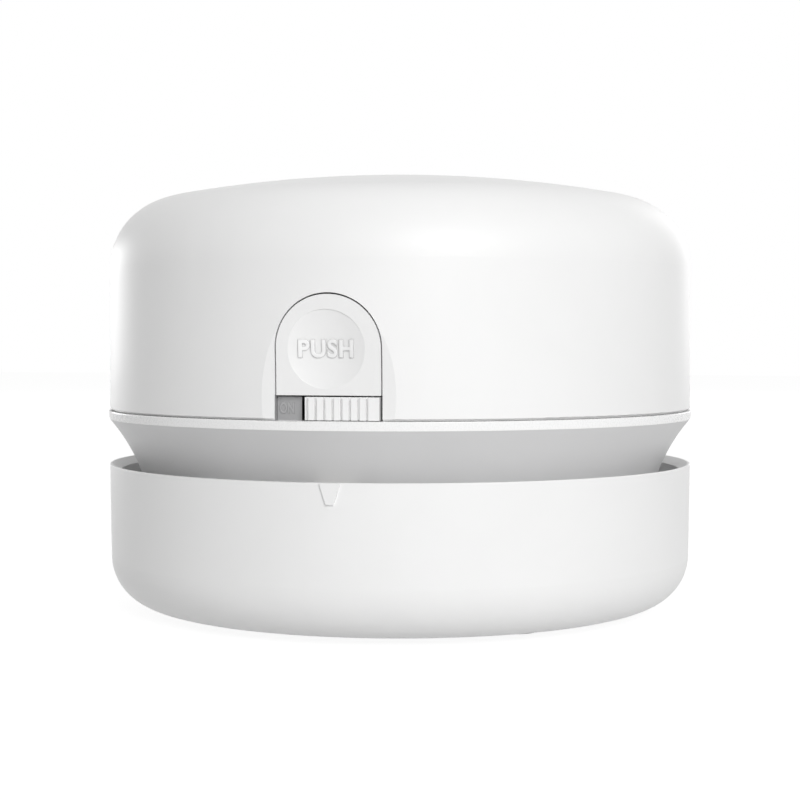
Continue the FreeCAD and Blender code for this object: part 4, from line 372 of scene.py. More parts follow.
def chassis_abs(colours):
    """The chassis is one moulding: polished band, pale grey neck, darker grey bed, and painted shadow behind
    the bed's front face for the groove.
    """
    finish = Finish("chassis_abs", IOR=1.49)
    flow = finish.noise(38, 3.0, 0.55, distortion=0.8)
    neck = finish.mixed(finish.level(flow, 0.0, 1.0), shade(colours.neck, 0.975), shade(colours.neck, 1.02))
    in_band = finish.beyond(BAND_FOOT, 0.02 * MM)
    above_band = finish.beyond(BAND_TOP, 0.005 * MM)
    in_bed = above_band
    for edge, blur, direction in ((-BED_SIDE, 0.025 * MM, "X"), (BED_SIDE, -0.025 * MM, "X"),
                                  (BED_BACK, -0.025 * MM, "Y")):
        in_bed = finish.sum(in_bed, finish.beyond(edge, blur, direction), "MULTIPLY")
    _, bed_front, _, _ = NODES["chassis"].ray_cast(BEFORE_BED, Vector((0.0, 1.0, 0.0)))
    # Painted shadow: behind the bed's front face the bed's grey drops to 8%, the shade inside the groove
    # beside the slider.
    groove_painted_shadow = finish.height(bed_front.y + 0.02 * MM, bed_front.y + 0.10 * MM, "Y")
    bed = finish.mixed(groove_painted_shadow, colours.bed, shade(colours.bed, 0.08))
    body = finish.mixed(in_band, neck, colours.band)
    body = finish.mixed(above_band, body, colours.band)
    finish.feed("Base Color", finish.mixed(in_bed, body, bed))
    fine = finish.noise(5200, 3.0, 0.6)
    satin = finish.level(fine, 0.44, 0.52)
    polish = finish.sum(in_band, finish.sum(1.0, above_band, "SUBTRACT"), "MULTIPLY")
    finish.feed("Roughness", finish.sum(satin, finish.sum(polish, 0.2, "MULTIPLY"), "SUBTRACT"))
    finish.relief(fine, 3e-6, 0.6)
    return finish


def moulded(name, tone, roughness=0.5):
    """Plain unpainted plastic from a bead-blasted mould, with sink marks and dull patches."""
    finish = Finish(name, IOR=1.47)
    patches = finish.noise(120, 4.0, 0.6)
    finish.feed("Base Color", finish.mixed(finish.level(patches, 0.0, 1.0), shade(tone, 0.9),
                                           shade(tone, 1.06)))
    finish.feed("Roughness", finish.level(patches, roughness - 0.08, roughness + 0.08))
    finish.relief(finish.noise(160, 1.0), 3e-5, 0.25)
    finish.relief(finish.noise(4200, 2.0), 5e-6, 0.5)
    return finish


def rubber(name, tone):
    """Moulded rubber: matt, lightly grained, with a pale bloom in places."""
    finish = Finish(name, IOR=1.52)
    bloom = finish.noise(260, 5.0, 0.65)
    finish.feed("Base Color", finish.mixed(finish.level(bloom, 0.0, 1.0, 0.45, 0.75), tone,
                                           tuple(channel * 0.8 + 0.05 for channel in tone)))
    finish.feed("Roughness", finish.level(bloom, 0.68, 0.86))
    finish.relief(finish.noise(3500, 3.0), 8e-6, 0.7)
    return finish


def metal(name, tone, roughness, stretch=(1.0, 1.0, 1.0), lines=1500, tarnish=0.18, depth=2e-6):
    """Bare metal with drawn or turned lines that run where stretch draws the pattern out."""
    finish = Finish(name, Metallic=1.0)
    drawn = finish.noise(lines, 3.0, 0.6, finish.scaled(*stretch))
    stain = finish.noise(210, 4.0, 0.6, distortion=0.5)
    finish.feed("Base Color", finish.mixed(finish.level(stain, 0.0, 1.0), shade(tone, 1.0 - tarnish), tone))
    finish.feed("Roughness", finish.sum(finish.level(drawn, roughness - 0.07, roughness + 0.07),
                                        finish.level(stain, 0.04, -0.04)))
    finish.relief(drawn, depth, 0.7)
    return finish


def laminated_steel(name):
    """Rotor core: packs of stamped sheets lie on each other."""
    finish = metal(name, (0.33, 0.34, 0.36), 0.42, (1.0, 1.0, 0.05))
    sheets = finish.bands(100, "Z")
    finish.relief(finish.level(sheets, 0.0, 1.0, 0.0, 0.25), 3e-5, 0.8)
    return finish


def wound_copper(name):
    """Enamelled copper wire, laid in neat turns."""
    finish = Finish(name, Metallic=1.0)
    finish.shader.inputs["Coat Weight"].default_value = 0.6
    finish.shader.inputs["Coat Roughness"].default_value = 0.12
    turns = finish.noise(300, 3.0)
    finish.feed("Base Color", finish.mixed(finish.level(turns, 0.0, 1.0), (0.60, 0.20, 0.075),
                                           (0.83, 0.34, 0.15)))
    finish.feed("Roughness", finish.level(turns, 0.2, 0.34))
    finish.relief(finish.bands(620, "Z", 0.2), 3e-5, 0.5)
    return finish


def bare_copper(name):
    """Commutator: copper bars, worn bright where the brushes run."""
    return metal(name, (0.80, 0.40, 0.22), 0.26, (1.0, 1.0, 30.0), 900)


def sintered_bronze(name):
    """Porous bronze bush, dark with oil in its pores."""
    finish = Finish(name, Metallic=1.0)
    pores = finish.cells(5200)
    finish.feed("Base Color", finish.mixed(finish.level(pores, 0.0, 1.0, 0.1, 0.5), (0.16, 0.09, 0.04),
                                           (0.58, 0.37, 0.17)))
    finish.feed("Roughness", finish.level(pores, 0.55, 0.34, 0.1, 0.5))
    finish.relief(pores, 1.2e-5, 0.8)
    return finish


def ferrite(name):
    """Pressed ferrite magnet: dark, matt and slightly gritty, with chipped specks."""
    finish = Finish(name, IOR=1.8)
    grit = finish.noise(2600, 4.0, 0.7)
    chips = finish.cells(700)
    finish.feed("Base Color", finish.mixed(finish.level(chips, 0.0, 1.0, 0.02, 0.12), (0.12, 0.12, 0.125),
                                           (0.035, 0.035, 0.038)))
    finish.feed("Roughness", finish.level(grit, 0.5, 0.72))
    finish.relief(grit, 1e-5, 0.8)
    return finish


def shrink_wrap(name, tone):
    """Glossy shrunk film with fine tension wrinkles along the cell."""
    finish = Finish(name, IOR=1.53)
    wrinkles = finish.noise(420, 3.0, 0.5, finish.scaled(1.0, 0.12, 1.0))
    finish.feed("Base Color", finish.mixed(finish.level(wrinkles, 0.0, 1.0), shade(tone, 0.88), tone))
    finish.feed("Roughness", finish.level(wrinkles, 0.16, 0.28))
    finish.shader.inputs["Coat Weight"].default_value = 0.3
    finish.relief(wrinkles, 2.5e-5, 0.35)
    return finish


def board_lacquer(name, tone):
    """Green solder lacquer over copper tracks, with the weave of the glass cloth beneath."""
    finish = Finish(name, IOR=1.5)
    cloth = finish.sum(finish.bands(900, "X"), finish.bands(900, "Y"))
    tracks = finish.level(finish.cells(230, "DISTANCE_TO_EDGE"), 0.0, 1.0, 0.10, 0.13)
    weave = finish.mixed(finish.level(cloth, 0.0, 1.0, 0.4, 1.6), shade(tone, 0.86), shade(tone, 1.1))
    finish.feed("Base Color", finish.mixed(tracks, shade(tone, 2.0), weave))
    finish.feed("Roughness", finish.level(cloth, 0.2, 0.3, 0.4, 1.6))
    finish.shader.inputs["Coat Weight"].default_value = 0.35
    finish.relief(tracks, -3e-5, 0.6)
    return finish


def moulding_compound(name):
    """Black epoxy of the chips and the coil, finely matt."""
    finish = Finish(name, IOR=1.55)
    grain = finish.noise(6000, 3.0, 0.6)
    finish.feed("Base Color", finish.mixed(finish.level(grain, 0.0, 1.0), (0.018, 0.018, 0.02),
                                           (0.034, 0.034, 0.037)))
    finish.feed("Roughness", finish.level(grain, 0.42, 0.58))
    finish.relief(grain, 4e-6, 0.7)
    return finish


def lens_plastic(name):
    """Clear lamp: water-clear epoxy with faint milky clouds."""
    finish = Finish(name, IOR=1.54)
    finish.shader.inputs["Transmission Weight"].default_value = 0.85
    cloud = finish.noise(700, 2.0)
    finish.feed("Base Color", finish.mixed(finish.level(cloud, 0.0, 1.0), (0.90, 0.94, 0.90),
                                           (1.0, 1.0, 1.0)))
    finish.feed("Roughness", finish.level(cloud, 0.04, 0.12))
    return finish


def lead_sleeve(name, tone):
    """Soft vinyl sleeve of a lead, waxy, with faint draw marks."""
    finish = Finish(name, IOR=1.53)
    wax = finish.noise(900, 3.0, 0.6)
    finish.feed("Base Color", finish.mixed(finish.level(wax, 0.0, 1.0), shade(tone, 0.8), shade(tone, 1.15)))
    finish.feed("Roughness", finish.level(wax, 0.34, 0.48))
    finish.relief(wax, 8e-6, 0.4)
    return finish


def nylon_bristle(name, tone):
    """Drawn nylon: smooth, slightly see-through, paler towards the tips."""
    finish = Finish(name, IOR=1.53)
    finish.shader.inputs["Subsurface Weight"].default_value = 0.15
    finish.shader.inputs["Subsurface Radius"].default_value = (0.0004, 0.0004, 0.0004)
    tips = finish.height(0.4 * MM, 2.2 * MM)
    strand = finish.noise(2200, 2.0, 0.5, finish.scaled(1.0, 1.0, 0.1))
    body = finish.mixed(finish.level(strand, 0.0, 1.0), shade(tone, 0.8), shade(tone, 1.12))
    finish.feed("Base Color", finish.mixed(tips, shade(tone, 1.35), body))
    finish.feed("Roughness", finish.level(strand, 0.26, 0.42))
    return finish


def needled_cloth(name, tone):
    """Pressed fibre cloth: tangled fibres, small bonded dots, a soft nap. The pattern follows the sheet."""
    finish = Finish(name, IOR=1.5)
    finish.place = finish.node("ShaderNodeUVMap", uv_map="sheet").outputs["UV"]
    finish.shader.inputs["Sheen Weight"].default_value = 0.35
    finish.shader.inputs["Sheen Roughness"].default_value = 0.6
    fibres = finish.noise(2600, 5.0, 0.75, finish.scaled(1.0, 0.22, 1.0), 1.4)
    crossing = finish.noise(2600, 5.0, 0.75, finish.scaled(0.22, 1.0, 1.0), 1.4)
    tangle = finish.sum(fibres, crossing, "MAXIMUM")
    dots = finish.level(finish.cells(620), 0.0, 1.0, 0.16, 0.26)
    body = finish.mixed(finish.level(tangle, 0.0, 1.0, 0.42, 0.72), shade(tone, 0.80), shade(tone, 1.05))
    finish.feed("Base Color", finish.mixed(dots, shade(tone, 0.78), body))
    finish.feed("Roughness", finish.level(tangle, 0.95, 0.8, 0.42, 0.72))
    finish.relief(tangle, 6e-5, 0.7)
    finish.relief(dots, 3e-5, 0.5)
    return finish


# ---------------------------------------------------------------------------------------------
# Making pieces
# ---------------------------------------------------------------------------------------------
def dress(finish, *names):
    """Gives fixed nodes their finish."""
    for name in names:
        for material_slot in NODES[name].material_slots:
            material_slot.material = finish.material


def as_piece(name, mesh, finish, body, smooth=math.radians(35)):
    """Puts a finished mesh into the scene as a piece that moves with a body."""
    mesh.name = name
    mesh.materials.clear()
    mesh.materials.append(finish.material)
    mesh.shade_smooth()
    mesh.set_sharp_from_angle(angle=smooth)
    piece = bpy.data.objects.new(name, mesh)
    bpy.context.scene.collection.objects.link(piece)
    if body:
        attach(piece, body)
    return piece


def mesh_of(bm, name, weld=1e-7):
    """Welds and closes a bmesh, turns its faces outwards and hands over its mesh."""
    if weld:
        bmesh.ops.remove_doubles(bm, verts=bm.verts, dist=weld)
    bmesh.ops.recalc_face_normals(bm, faces=bm.faces)
    mesh = bpy.data.meshes.new(name)
    bm.to_mesh(mesh)
    bm.free()
    return mesh


def copy_of(node):
    """A welded copy of a node's mesh, as a bmesh."""
    bm = bmesh.new()
    bm.from_mesh(NODES[node].data)
    for layer in list(bm.loops.layers.float_vector.values()):
        bm.loops.layers.float_vector.remove(layer)
    bmesh.ops.remove_doubles(bm, verts=bm.verts, dist=1e-6)
    return bm


def meshed(curve):
    """The mesh of a curve or text, made before it gets its place."""
    shape = bpy.data.objects.new("shape", curve)
    bpy.context.scene.collection.objects.link(shape)
    bpy.context.view_layer.update()
    mesh = bpy.data.meshes.new_from_object(shape.evaluated_get(bpy.context.evaluated_depsgraph_get()))
    bpy.data.objects.remove(shape)
    bpy.data.curves.remove(curve)
    return mesh


def raised_word(name, word, width, height, relief, centre, node):
    """A word that stands out of a node's front, each corner laid on that surface and its back sunk in it."""
    sunk = 0.06 * MM
    text = bpy.data.curves.new(name, "FONT")
    text.body = word
    text.align_x = "CENTER"
    text.space_character = 1.1
    text.extrude = 0.02
    text.bevel_depth = 0.05
    text.bevel_resolution = 2
    text.resolution_u = 8
    mesh = meshed(text)
    low = Vector(min(v.co[axis] for v in mesh.vertices) for axis in range(3))
    high = Vector(max(v.co[axis] for v in mesh.vertices) for axis in range(3))
    rises = []
    for corner in mesh.vertices:
        part = [(corner.co[axis] - low[axis]) / (high[axis] - low[axis]) for axis in range(3)]
        across = centre[0] + (part[0] - 0.5) * width
        up = centre[1] + (part[1] - 0.5) * height
        hit, surface, _, _ = NODES[node].ray_cast(Vector((across, BEFORE_ALL, up)), Vector((0.0, 1.0, 0.0)))
        if not hit:
            raise RuntimeError(f"{name} reaches beyond {node}")
        corner.co = (across, surface.y + sunk - part[2] * (relief + sunk), up)
        rises.append(part[2])
    bm = bmesh.new()
    bm.from_mesh(mesh)
    bpy.data.meshes.remove(mesh)
    rise = bm.loops.layers.uv.new("rise")
    for face in bm.faces:
        for loop in face.loops:
            loop[rise].uv = (rises[loop.vert.index], 0.0)
    return mesh_of(bm, name)


def bristle_tufts(sizes):
    """Tufts of bristles, each bristle a slim tapered rod that leans a little its own way."""
    low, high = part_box("bristle_tufts")
    circle = high.x - 1.0 * MM
    widest, shortest, most_lean, slimming = 0.92 * MM, 0.22, 0.035, 0.62
    draw = random.Random(11)
    bm = bmesh.new()
    for tuft in range(TUFTS):
        angle = math.tau * tuft / TUFTS
        root = Vector((circle * math.cos(angle), circle * math.sin(angle), high.z))
        for ring in range(sizes.bristle_rings + 1):
            for step in range(max(1, 6 * ring)):
                turn = math.tau * step / max(1, 6 * ring) + draw.uniform(-0.1, 0.1)
                reach = ring * widest / (sizes.bristle_rings + 0.3)
                long = high.z - low.z - draw.uniform(0.0, shortest) * MM
                lean = Matrix.Rotation(draw.uniform(-most_lean, most_lean), 4, "X") @ Matrix.Rotation(
                    draw.uniform(-most_lean, most_lean), 4, "Y")
                aside = Vector((reach * math.cos(turn), reach * math.sin(turn), 0.0))
                place = Matrix.Translation(root + aside)
                bmesh.ops.create_cone(
                    bm, cap_ends=True, segments=5, radius1=sizes.bristle_radius * slimming,
                    radius2=sizes.bristle_radius, depth=long,
                    matrix=place @ lean @ Matrix.Translation((0.0, 0.0, -long / 2)))
    return mesh_of(bm, "bristle_tufts_fine", 0)


def pleated_cloth(sizes):
    """A cloth folded into even pleats that fill the round frame, with the folds' length along Y."""
    low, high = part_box("filter_cloth")
    radius = high.x - 0.15 * MM
    inset = sizes.cloth_thickness / 2 + 0.02 * MM
    bottom, top = low.z + inset, high.z - inset
    steps, rounding, rounded = 12, 2.6, 0.25
    folds = int(2 * radius / sizes.cloth_pitch)
    bm = bmesh.new()
    bmesh.ops.create_grid(bm, x_segments=folds * steps, y_segments=30, size=1.0, calc_uvs=False)
    sheet = bm.loops.layers.uv.new("sheet")
    rise = (top - bottom) / 2
    slope = math.hypot(1.0, 4 * rise / sizes.cloth_pitch)
    flat = {}
    for corner in bm.verts:
        across, share_along = corner.co.x * radius * 0.998, corner.co.y
        along = share_along * math.sqrt(max(0.0, radius ** 2 - across ** 2))
        fold = (across / sizes.cloth_pitch + 0.25) % 1.0
        wave = 4 * abs(fold - 0.5) - 1.0
        soft = math.tanh(rounding * wave) / math.tanh(rounding) * rounded + wave * (1.0 - rounded)
        flat[corner.index] = (across * slope, along)
        corner.co = (across, along, (top + bottom) / 2 + rise * soft)
    for face in bm.faces:
        for loop in face.loops:
            loop[sheet].uv = flat[loop.vert.index]
    return mesh_of(bm, "pleated_cloth", 1e-6)


def woven_screen(sizes):
    """Two sets of wires that pass over and under each other, cut round."""
    low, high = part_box("filter_screen")
    radius = high.x - sizes.screen_wire
    middle = (low.z + high.z) / 2
    curve = bpy.data.curves.new("woven_screen", "CURVE")
    curve.dimensions = "3D"
    curve.bevel_depth = sizes.screen_wire
    curve.bevel_resolution = 0
    curve.use_fill_caps = True
    pitch = sizes.screen_pitch
    count_each_side = int(radius / pitch)
    for way in (0, 1):
        for wire in range(-count_each_side, count_each_side + 1):
            off = wire * pitch
            half = math.sqrt(max(0.0, radius ** 2 - off ** 2))
            crossings = int(half / pitch * 2)
            if crossings < 2:
                continue
            line = curve.splines.new("POLY")
            line.points.add(2 * crossings)
            for index in range(2 * crossings + 1):
                along = (index - crossings) * pitch / 2
                wave = math.cos(math.pi * along / pitch + math.pi * wire + math.pi * way)
                up = middle + sizes.screen_wire * 1.02 * wave
                line.points[index].co = (along, off, up, 1.0) if way == 0 else (off, along, up, 1.0)
    return meshed(curve)


def coil_spring(sizes):
    """Compression spring with a closed turn at each end, wound along Y."""
    low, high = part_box("button_spring")
    centre_x, centre_z = (low.x + high.x) / 2, (low.z + high.z) / 2
    wire, coil = sizes.spring_wire, sizes.spring_coil
    steps = 28
    closed = 2.06 * wire
    open_pitch = (high.y - low.y - 2 * wire - 2 * closed) / sizes.spring_turns
    bm = bmesh.new()
    ring = bmesh.ops.create_circle(
        bm, cap_ends=True, segments=8, radius=wire,
        matrix=Matrix.Translation((centre_x + coil, low.y + wire, centre_z)))
    section = list({face for corner in ring["verts"] for face in corner.link_faces})
    for pitch, turns in ((closed, 1), (open_pitch, sizes.spring_turns), (closed, 1)):
        spun = bmesh.ops.spin(
            bm, geom=section, cent=(centre_x, 0.0, centre_z), axis=(0.0, 1.0, 0.0),
            dvec=(0.0, pitch / steps, 0.0), angle=math.tau * turns, steps=steps * turns, use_duplicate=False)
        section = [item for item in spun["geom_last"] if isinstance(item, bmesh.types.BMFace)]
    return mesh_of(bm, "coil_spring")


def bending_latch():
    """The latch with a cut across its arm at every mm, so that it bends smoothly from its screwed root."""
    bm = copy_of("latch_tongue")
    for level in LATCH_CUTS:
        bmesh.ops.bisect_plane(bm, geom=bm.verts[:] + bm.edges[:] + bm.faces[:], dist=1e-7,
                               plane_co=(0.0, 0.0, level * MM), plane_no=(0.0, 0.0, 1.0))
    return mesh_of(bm, "bending_latch")


# ---------------------------------------------------------------------------------------------
# Operators
# ---------------------------------------------------------------------------------------------
class VACUUM_OT_cases(bpy.types.Operator):
    """Gives the white cases their satin finish"""

    bl_idname = "vacuum.cases"
    bl_label = "White cases"

    def execute(self, context):
        colours = context.scene.vacuum_colours
        dress(shell_abs(colours), "upper_shell")
        dress(satin_abs("bowl_abs", colours.white), "dust_bowl")
        dress(chassis_abs(colours), "chassis")
        return {"FINISHED"}


class VACUUM_OT_button(bpy.types.Operator):
    """Finishes the push button and raises its word"""

    bl_idname = "vacuum.button"
    bl_label = "Push button"

    def execute(self, context):
        sizes, colours = context.scene.vacuum_sizes, context.scene.vacuum_colours
        dress(satin_abs("button_abs", colours.white, 0.42), "push_button")
        word = raised_word("push_word", "PUSH", sizes.push_width, sizes.push_height, sizes.push_relief,
                           (sizes.push_side, sizes.push_rise), "push_button")
        # Painted light: the word's tone is the button's white made 3% lighter, and its base gets painted
        # shade.
        as_piece("push_word", word, lettering("push_word_abs", shade(colours.white, 1.03), 0.42), "button")
        dress(moulded("stem_acetal", colours.latch, 0.36), "button_stem")
        return {"FINISHED"}


class VACUUM_OT_slider(bpy.types.Operator):
    """Finishes the slider, its switch and the word beside it"""

    bl_idname = "vacuum.slider"
    bl_label = "Power slider"

    def execute(self, context):
        sizes, colours = context.scene.vacuum_sizes, context.scene.vacuum_colours
        dress(satin_abs("slider_abs", colours.band, 0.34, 0.6), "power_slider")
        word = raised_word("on_word", "ON", sizes.on_width, sizes.on_height, sizes.on_relief,
                           (sizes.on_side, sizes.on_rise), "chassis")
        # Painted light: the word's tone is the bed's grey made 8% lighter, and its base gets painted shade.
        as_piece("on_word", word, lettering("on_word_abs", shade(colours.bed, 1.08), 0.5), "motor_unit")
        dress(moulded("lever_plastic", colours.dark, 0.45), "switch_lever")
        dress(metal("switch_case_steel", (0.66, 0.67, 0.68), 0.3, (1.0, 12.0, 12.0)), "slide_switch")
        return {"FINISHED"}


class VACUUM_OT_spring(bpy.types.Operator):
    """Winds the spring behind the button"""

    bl_idname = "vacuum.spring"
    bl_label = "Button spring"

    def execute(self, context):
        finish = metal("spring_wire_steel", (0.56, 0.57, 0.60), 0.26, (1.0, 1.0, 1.0), 2600)
        spring = as_piece("coil_spring", coil_spring(context.scene.vacuum_sizes), finish, "motor_unit")
        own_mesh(spring)
        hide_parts("button_spring")
        return {"FINISHED"}


class VACUUM_OT_latch(bpy.types.Operator):
    """Makes the latch, with a cut across its arm at every mm"""

    bl_idname = "vacuum.latch"
    bl_label = "Latch"

    def execute(self, context):
        finish = moulded("latch_acetal", context.scene.vacuum_colours.latch, 0.36)
        latch = as_piece("bending_latch", bending_latch(), finish, None)
        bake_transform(latch)
        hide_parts("latch_tongue")
        return {"FINISHED"}


class VACUUM_OT_intake(bpy.types.Operator):
    """Finishes the intake under the bowl and sets its bristles"""

    bl_idname = "vacuum.intake"
    bl_label = "Intake and bristles"

    def execute(self, context):
        sizes, colours = context.scene.vacuum_sizes, context.scene.vacuum_colours
        dress(moulded("intake_abs", colours.inner, 0.42), "intake_duct", "brush_ring")
        bristles = as_piece("bristles", bristle_tufts(sizes), nylon_bristle("bristle_nylon", colours.bristle),
                            "dust_cup")
        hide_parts("bristle_tufts")
        dress(rubber("feet_rubber", colours.rubber), "glide_feet")
        dress(rubber("seal_rubber", colours.seal), "cup_seal")
        return {"FINISHED"}


class VACUUM_OT_filter(bpy.types.Operator):
    """Makes the filter's cloth and screen and finishes its frame"""

    bl_idname = "vacuum.filter"
    bl_label = "Filter"

    def execute(self, context):
        sizes, colours = context.scene.vacuum_sizes, context.scene.vacuum_colours
        dress(moulded("filter_frame_plastic", colours.filter, 0.5), "filter_frame")
        cloth = as_piece("pleated_cloth", pleated_cloth(sizes), needled_cloth("filter_fibre", colours.cloth),
                         "filter", math.radians(80))
        wall = cloth.modifiers.new("thickness", "SOLIDIFY")
        wall.thickness = sizes.cloth_thickness
        wall.offset = 0.0
        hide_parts("filter_cloth")
        screen = as_piece("woven_screen", woven_screen(sizes),
                          metal("screen_steel", (0.62, 0.63, 0.64), 0.28, (1.0, 1.0, 1.0), 2200), "filter",
                          math.radians(60))
        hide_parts("filter_screen")
        return {"FINISHED"}


class VACUUM_OT_motor(bpy.types.Operator):
    """Finishes the fan, the motor and what holds them"""

    bl_idname = "vacuum.motor"
    bl_label = "Fan and motor"

    def execute(self, context):
        colours = context.scene.vacuum_colours
        dress(moulded("fan_cover_plastic", colours.inner, 0.5), "fan_cover", "button_bracket", "battery_tray")
        dress(moulded("fan_nylon", colours.fan, 0.4), "impeller")
        dress(metal("can_plate", (0.70, 0.70, 0.69), 0.24, (1.0, 1.0, 0.05)), "motor_can")
        dress(moulded("cap_plastic", colours.dark, 0.42), "motor_cap", "motor_clamp")
        dress(rubber("damper_rubber", colours.seal), "motor_damper")
        dress(ferrite("magnet_ferrite"), "motor_magnets")
        dress(sintered_bronze("bush_bronze"), "motor_bushes")
        dress(metal("ground_steel", (0.70, 0.71, 0.73), 0.16, (1.0, 1.0, 25.0)), "motor_shaft")
        dress(laminated_steel("core_sheets"), "rotor_core")
        dress(wound_copper("winding_copper"), "rotor_windings")
        dress(bare_copper("commutator_copper"), "commutator")
        dress(metal("terminal_brass", (0.78, 0.58, 0.25), 0.28, (1.0, 1.0, 0.1)), "motor_terminals")
        return {"FINISHED"}


class VACUUM_OT_electrics(bpy.types.Operator):
    """Finishes the cells, the board, the socket and the leads"""

    bl_idname = "vacuum.electrics"
    bl_label = "Electrics"

    def execute(self, context):
        colours = context.scene.vacuum_colours
        dress(shrink_wrap("cell_film", colours.cell), "battery_cells")
        dress(metal("nickel_strip", (0.72, 0.70, 0.64), 0.26, (12.0, 1.0, 1.0)), "cell_straps")
        dress(board_lacquer("board_lacquer", colours.board), "control_board")
        dress(moulding_compound("chip_epoxy"), "board_parts")
        dress(metal("socket_plate", (0.66, 0.67, 0.69), 0.26, (1.0, 0.1, 1.0)), "charge_socket")
        dress(lens_plastic("lamp_epoxy"), "charge_lamp")
        dress(lead_sleeve("red_sleeve", colours.wire_red), "motor_leads", "switch_leads")
        dress(lead_sleeve("black_sleeve", colours.wire_black), "battery_leads")
        return {"FINISHED"}


class VACUUM_OT_screws(bpy.types.Operator):
    """Finishes every screw"""

    bl_idname = "vacuum.screws"
    bl_label = "Screws"

    def execute(self, context):
        finish = metal("zinc_plate", (0.63, 0.64, 0.66), 0.27, (1.0, 1.0, 8.0), 1800, 0.25)
        dress(finish, "case_screws", "cover_screws", "latch_screw", "clamp_screws", "board_screws")
        return {"FINISHED"}


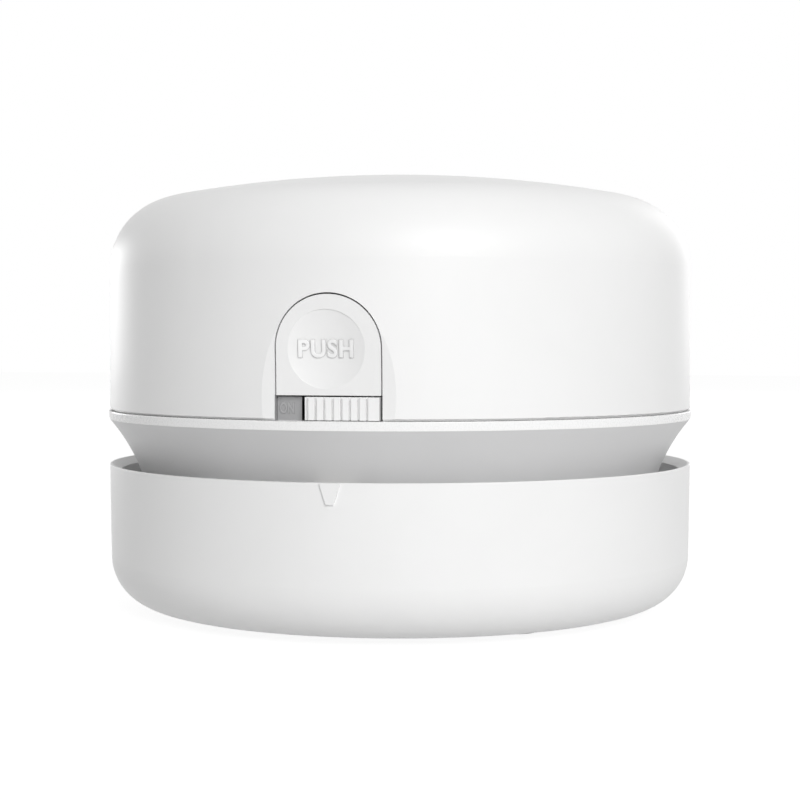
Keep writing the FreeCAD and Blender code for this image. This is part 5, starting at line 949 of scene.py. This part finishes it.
class VACUUM_OT_stage(bpy.types.Operator):
    """Sets the camera, the lamps, the pale room and the floor"""

    bl_idname = "vacuum.stage"
    bl_label = "Stage"

    def execute(self, context):
        studio = context.scene.vacuum_studio
        context.scene.view_settings.view_transform = "Standard"
        camera = bpy.data.cameras.new("studio_camera")
        camera.lens, camera.sensor_width = studio.lens, 36.0
        camera.clip_start, camera.clip_end = 0.01, 20.0
        holder = bpy.data.objects.new("studio_camera", camera)
        holder.location = (studio.camera_distance * math.sin(studio.camera_turn),
                           -studio.camera_distance * math.cos(studio.camera_turn), studio.camera_height)
        holder.rotation_euler = (math.pi / 2 - studio.camera_dip, 0.0, studio.camera_turn)
        context.scene.collection.objects.link(holder)
        context.scene.camera = holder
        for name, setting, size, place in LAMPS:
            self.lamp(context, name, getattr(studio, setting), size, place)
        self.room(context, studio)
        self.floor(context, studio)
        return {"FINISHED"}

    def lamp(self, context, name, power, size, place):
        data = bpy.data.lights.new(name, "AREA")
        data.shape, data.energy = "ELLIPSE" if size[0] == size[1] else "RECTANGLE", power
        data.size, data.size_y = size
        lamp = bpy.data.objects.new(name, data)
        lamp.location = place
        lamp.rotation_euler = (LAMP_AIM - Vector(place)).to_track_quat("-Z", "Y").to_euler()
        context.scene.collection.objects.link(lamp)

    def seen_plainly(self, tree):
        """1 for what the camera, a gloss or clear plastic sees, 0 for the light that falls on things."""
        path = tree.nodes.new("ShaderNodeLightPath")
        total = path.outputs["Is Camera Ray"]
        for other in ("Is Glossy Ray", "Is Transmission Ray"):
            added = tree.nodes.new("ShaderNodeMath")
            added.operation = "MAXIMUM"
            tree.links.new(total, added.inputs[0])
            tree.links.new(path.outputs[other], added.inputs[1])
            total = added.outputs[0]
        return total

    def room(self, context, studio):
        world = bpy.data.worlds.new("pale_room")
        context.scene.world = world
        world.use_nodes = True
        tree = world.node_tree
        tree.nodes.clear()
        seen, light, both = (tree.nodes.new(kind) for kind in (
            "ShaderNodeBackground", "ShaderNodeBackground", "ShaderNodeMixShader"))
        seen.inputs["Color"].default_value = (1.0, 1.0, 1.0, 1.0)
        light.inputs["Color"].default_value = (1.0, 1.0, 1.0, 1.0)
        light.inputs["Strength"].default_value = studio.ambient
        out = tree.nodes.new("ShaderNodeOutputWorld")
        tree.links.new(self.seen_plainly(tree), both.inputs[0])
        tree.links.new(light.outputs[0], both.inputs[1])
        tree.links.new(seen.outputs[0], both.inputs[2])
        tree.links.new(both.outputs[0], out.inputs["Surface"])

    def floor(self, context, studio):
        bm = bmesh.new()
        bmesh.ops.create_grid(bm, x_segments=4, y_segments=4, size=1.6,
                              matrix=Matrix.Translation((0.0, 0.0, -0.05 * MM)))
        mesh = bpy.data.meshes.new("studio_floor")
        bm.to_mesh(mesh)
        bm.free()
        material = bpy.data.materials.new("pale_floor")
        material.use_nodes = True
        tree = material.node_tree
        tree.nodes.clear()
        lit, shown, white = (tree.nodes.new(kind) for kind in (
            "ShaderNodeBsdfDiffuse", "ShaderNodeBsdfDiffuse", "ShaderNodeEmission"))
        lit.inputs["Color"].default_value = (studio.floor,) * 3 + (1.0,)
        shown.inputs["Color"].default_value = (1.0, 1.0, 1.0, 1.0)
        white.inputs["Strength"].default_value = studio.glow
        blend, by_ray, below = (tree.nodes.new("ShaderNodeMixShader") for _ in range(3))
        blend.inputs[0].default_value = studio.shadow
        out = tree.nodes.new("ShaderNodeOutputMaterial")
        tree.links.new(white.outputs[0], blend.inputs[1])
        tree.links.new(shown.outputs[0], blend.inputs[2])
        tree.links.new(self.seen_plainly(tree), by_ray.inputs[0])
        tree.links.new(lit.outputs[0], by_ray.inputs[1])
        tree.links.new(blend.outputs[0], by_ray.inputs[2])
        side, clear = tree.nodes.new("ShaderNodeNewGeometry"), tree.nodes.new("ShaderNodeBsdfTransparent")
        tree.links.new(side.outputs["Backfacing"], below.inputs[0])
        tree.links.new(by_ray.outputs[0], below.inputs[1])
        tree.links.new(clear.outputs[0], below.inputs[2])
        tree.links.new(below.outputs[0], out.inputs["Surface"])
        mesh.materials.append(material)
        floor = bpy.data.objects.new("studio_floor", mesh)
        context.scene.collection.objects.link(floor)


OPERATORS = (
    VACUUM_OT_cases,
    VACUUM_OT_button,
    VACUUM_OT_slider,
    VACUUM_OT_spring,
    VACUUM_OT_latch,
    VACUUM_OT_intake,
    VACUUM_OT_filter,
    VACUUM_OT_motor,
    VACUUM_OT_electrics,
    VACUUM_OT_screws,
    VACUUM_OT_stage,
)


class VACUUM_PT_sidebar(bpy.types.Panel):
    """Lists the cleaner's pieces, colours and studio"""

    bl_idname = "VACUUM_PT_sidebar"
    bl_label = "Mini vacuum cleaner"
    bl_space_type = "VIEW_3D"
    bl_region_type = "UI"
    bl_category = "Mini Vacuum"

    def draw(self, context):
        for operator in OPERATORS:
            self.layout.operator(operator.bl_idname)
        for group in (context.scene.vacuum_sizes, context.scene.vacuum_colours, context.scene.vacuum_studio):
            box = self.layout.box()
            for name in group.__annotations__:
                box.prop(group, name)


GROUPS = (VacuumSizes, VacuumColours, VacuumStudio)


def register():
    for kind in GROUPS + OPERATORS + (VACUUM_PT_sidebar,):
        bpy.utils.register_class(kind)
    bpy.types.Scene.vacuum_sizes = bpy.props.PointerProperty(type=VacuumSizes)
    bpy.types.Scene.vacuum_colours = bpy.props.PointerProperty(type=VacuumColours)
    bpy.types.Scene.vacuum_studio = bpy.props.PointerProperty(type=VacuumStudio)


def unregister():
    del bpy.types.Scene.vacuum_studio
    del bpy.types.Scene.vacuum_colours
    del bpy.types.Scene.vacuum_sizes
    for kind in reversed(GROUPS + OPERATORS + (VACUUM_PT_sidebar,)):
        bpy.utils.unregister_class(kind)


def main():
    for leftover in [o for o in bpy.context.scene.objects if o.name in ("Cube", "Light", "Camera")]:
        bpy.data.objects.remove(leftover)
    register()
    for operator in OPERATORS:
        group, name = operator.bl_idname.split(".")
        getattr(getattr(bpy.ops, group), name)()


if __name__ == "__main__":
    main()
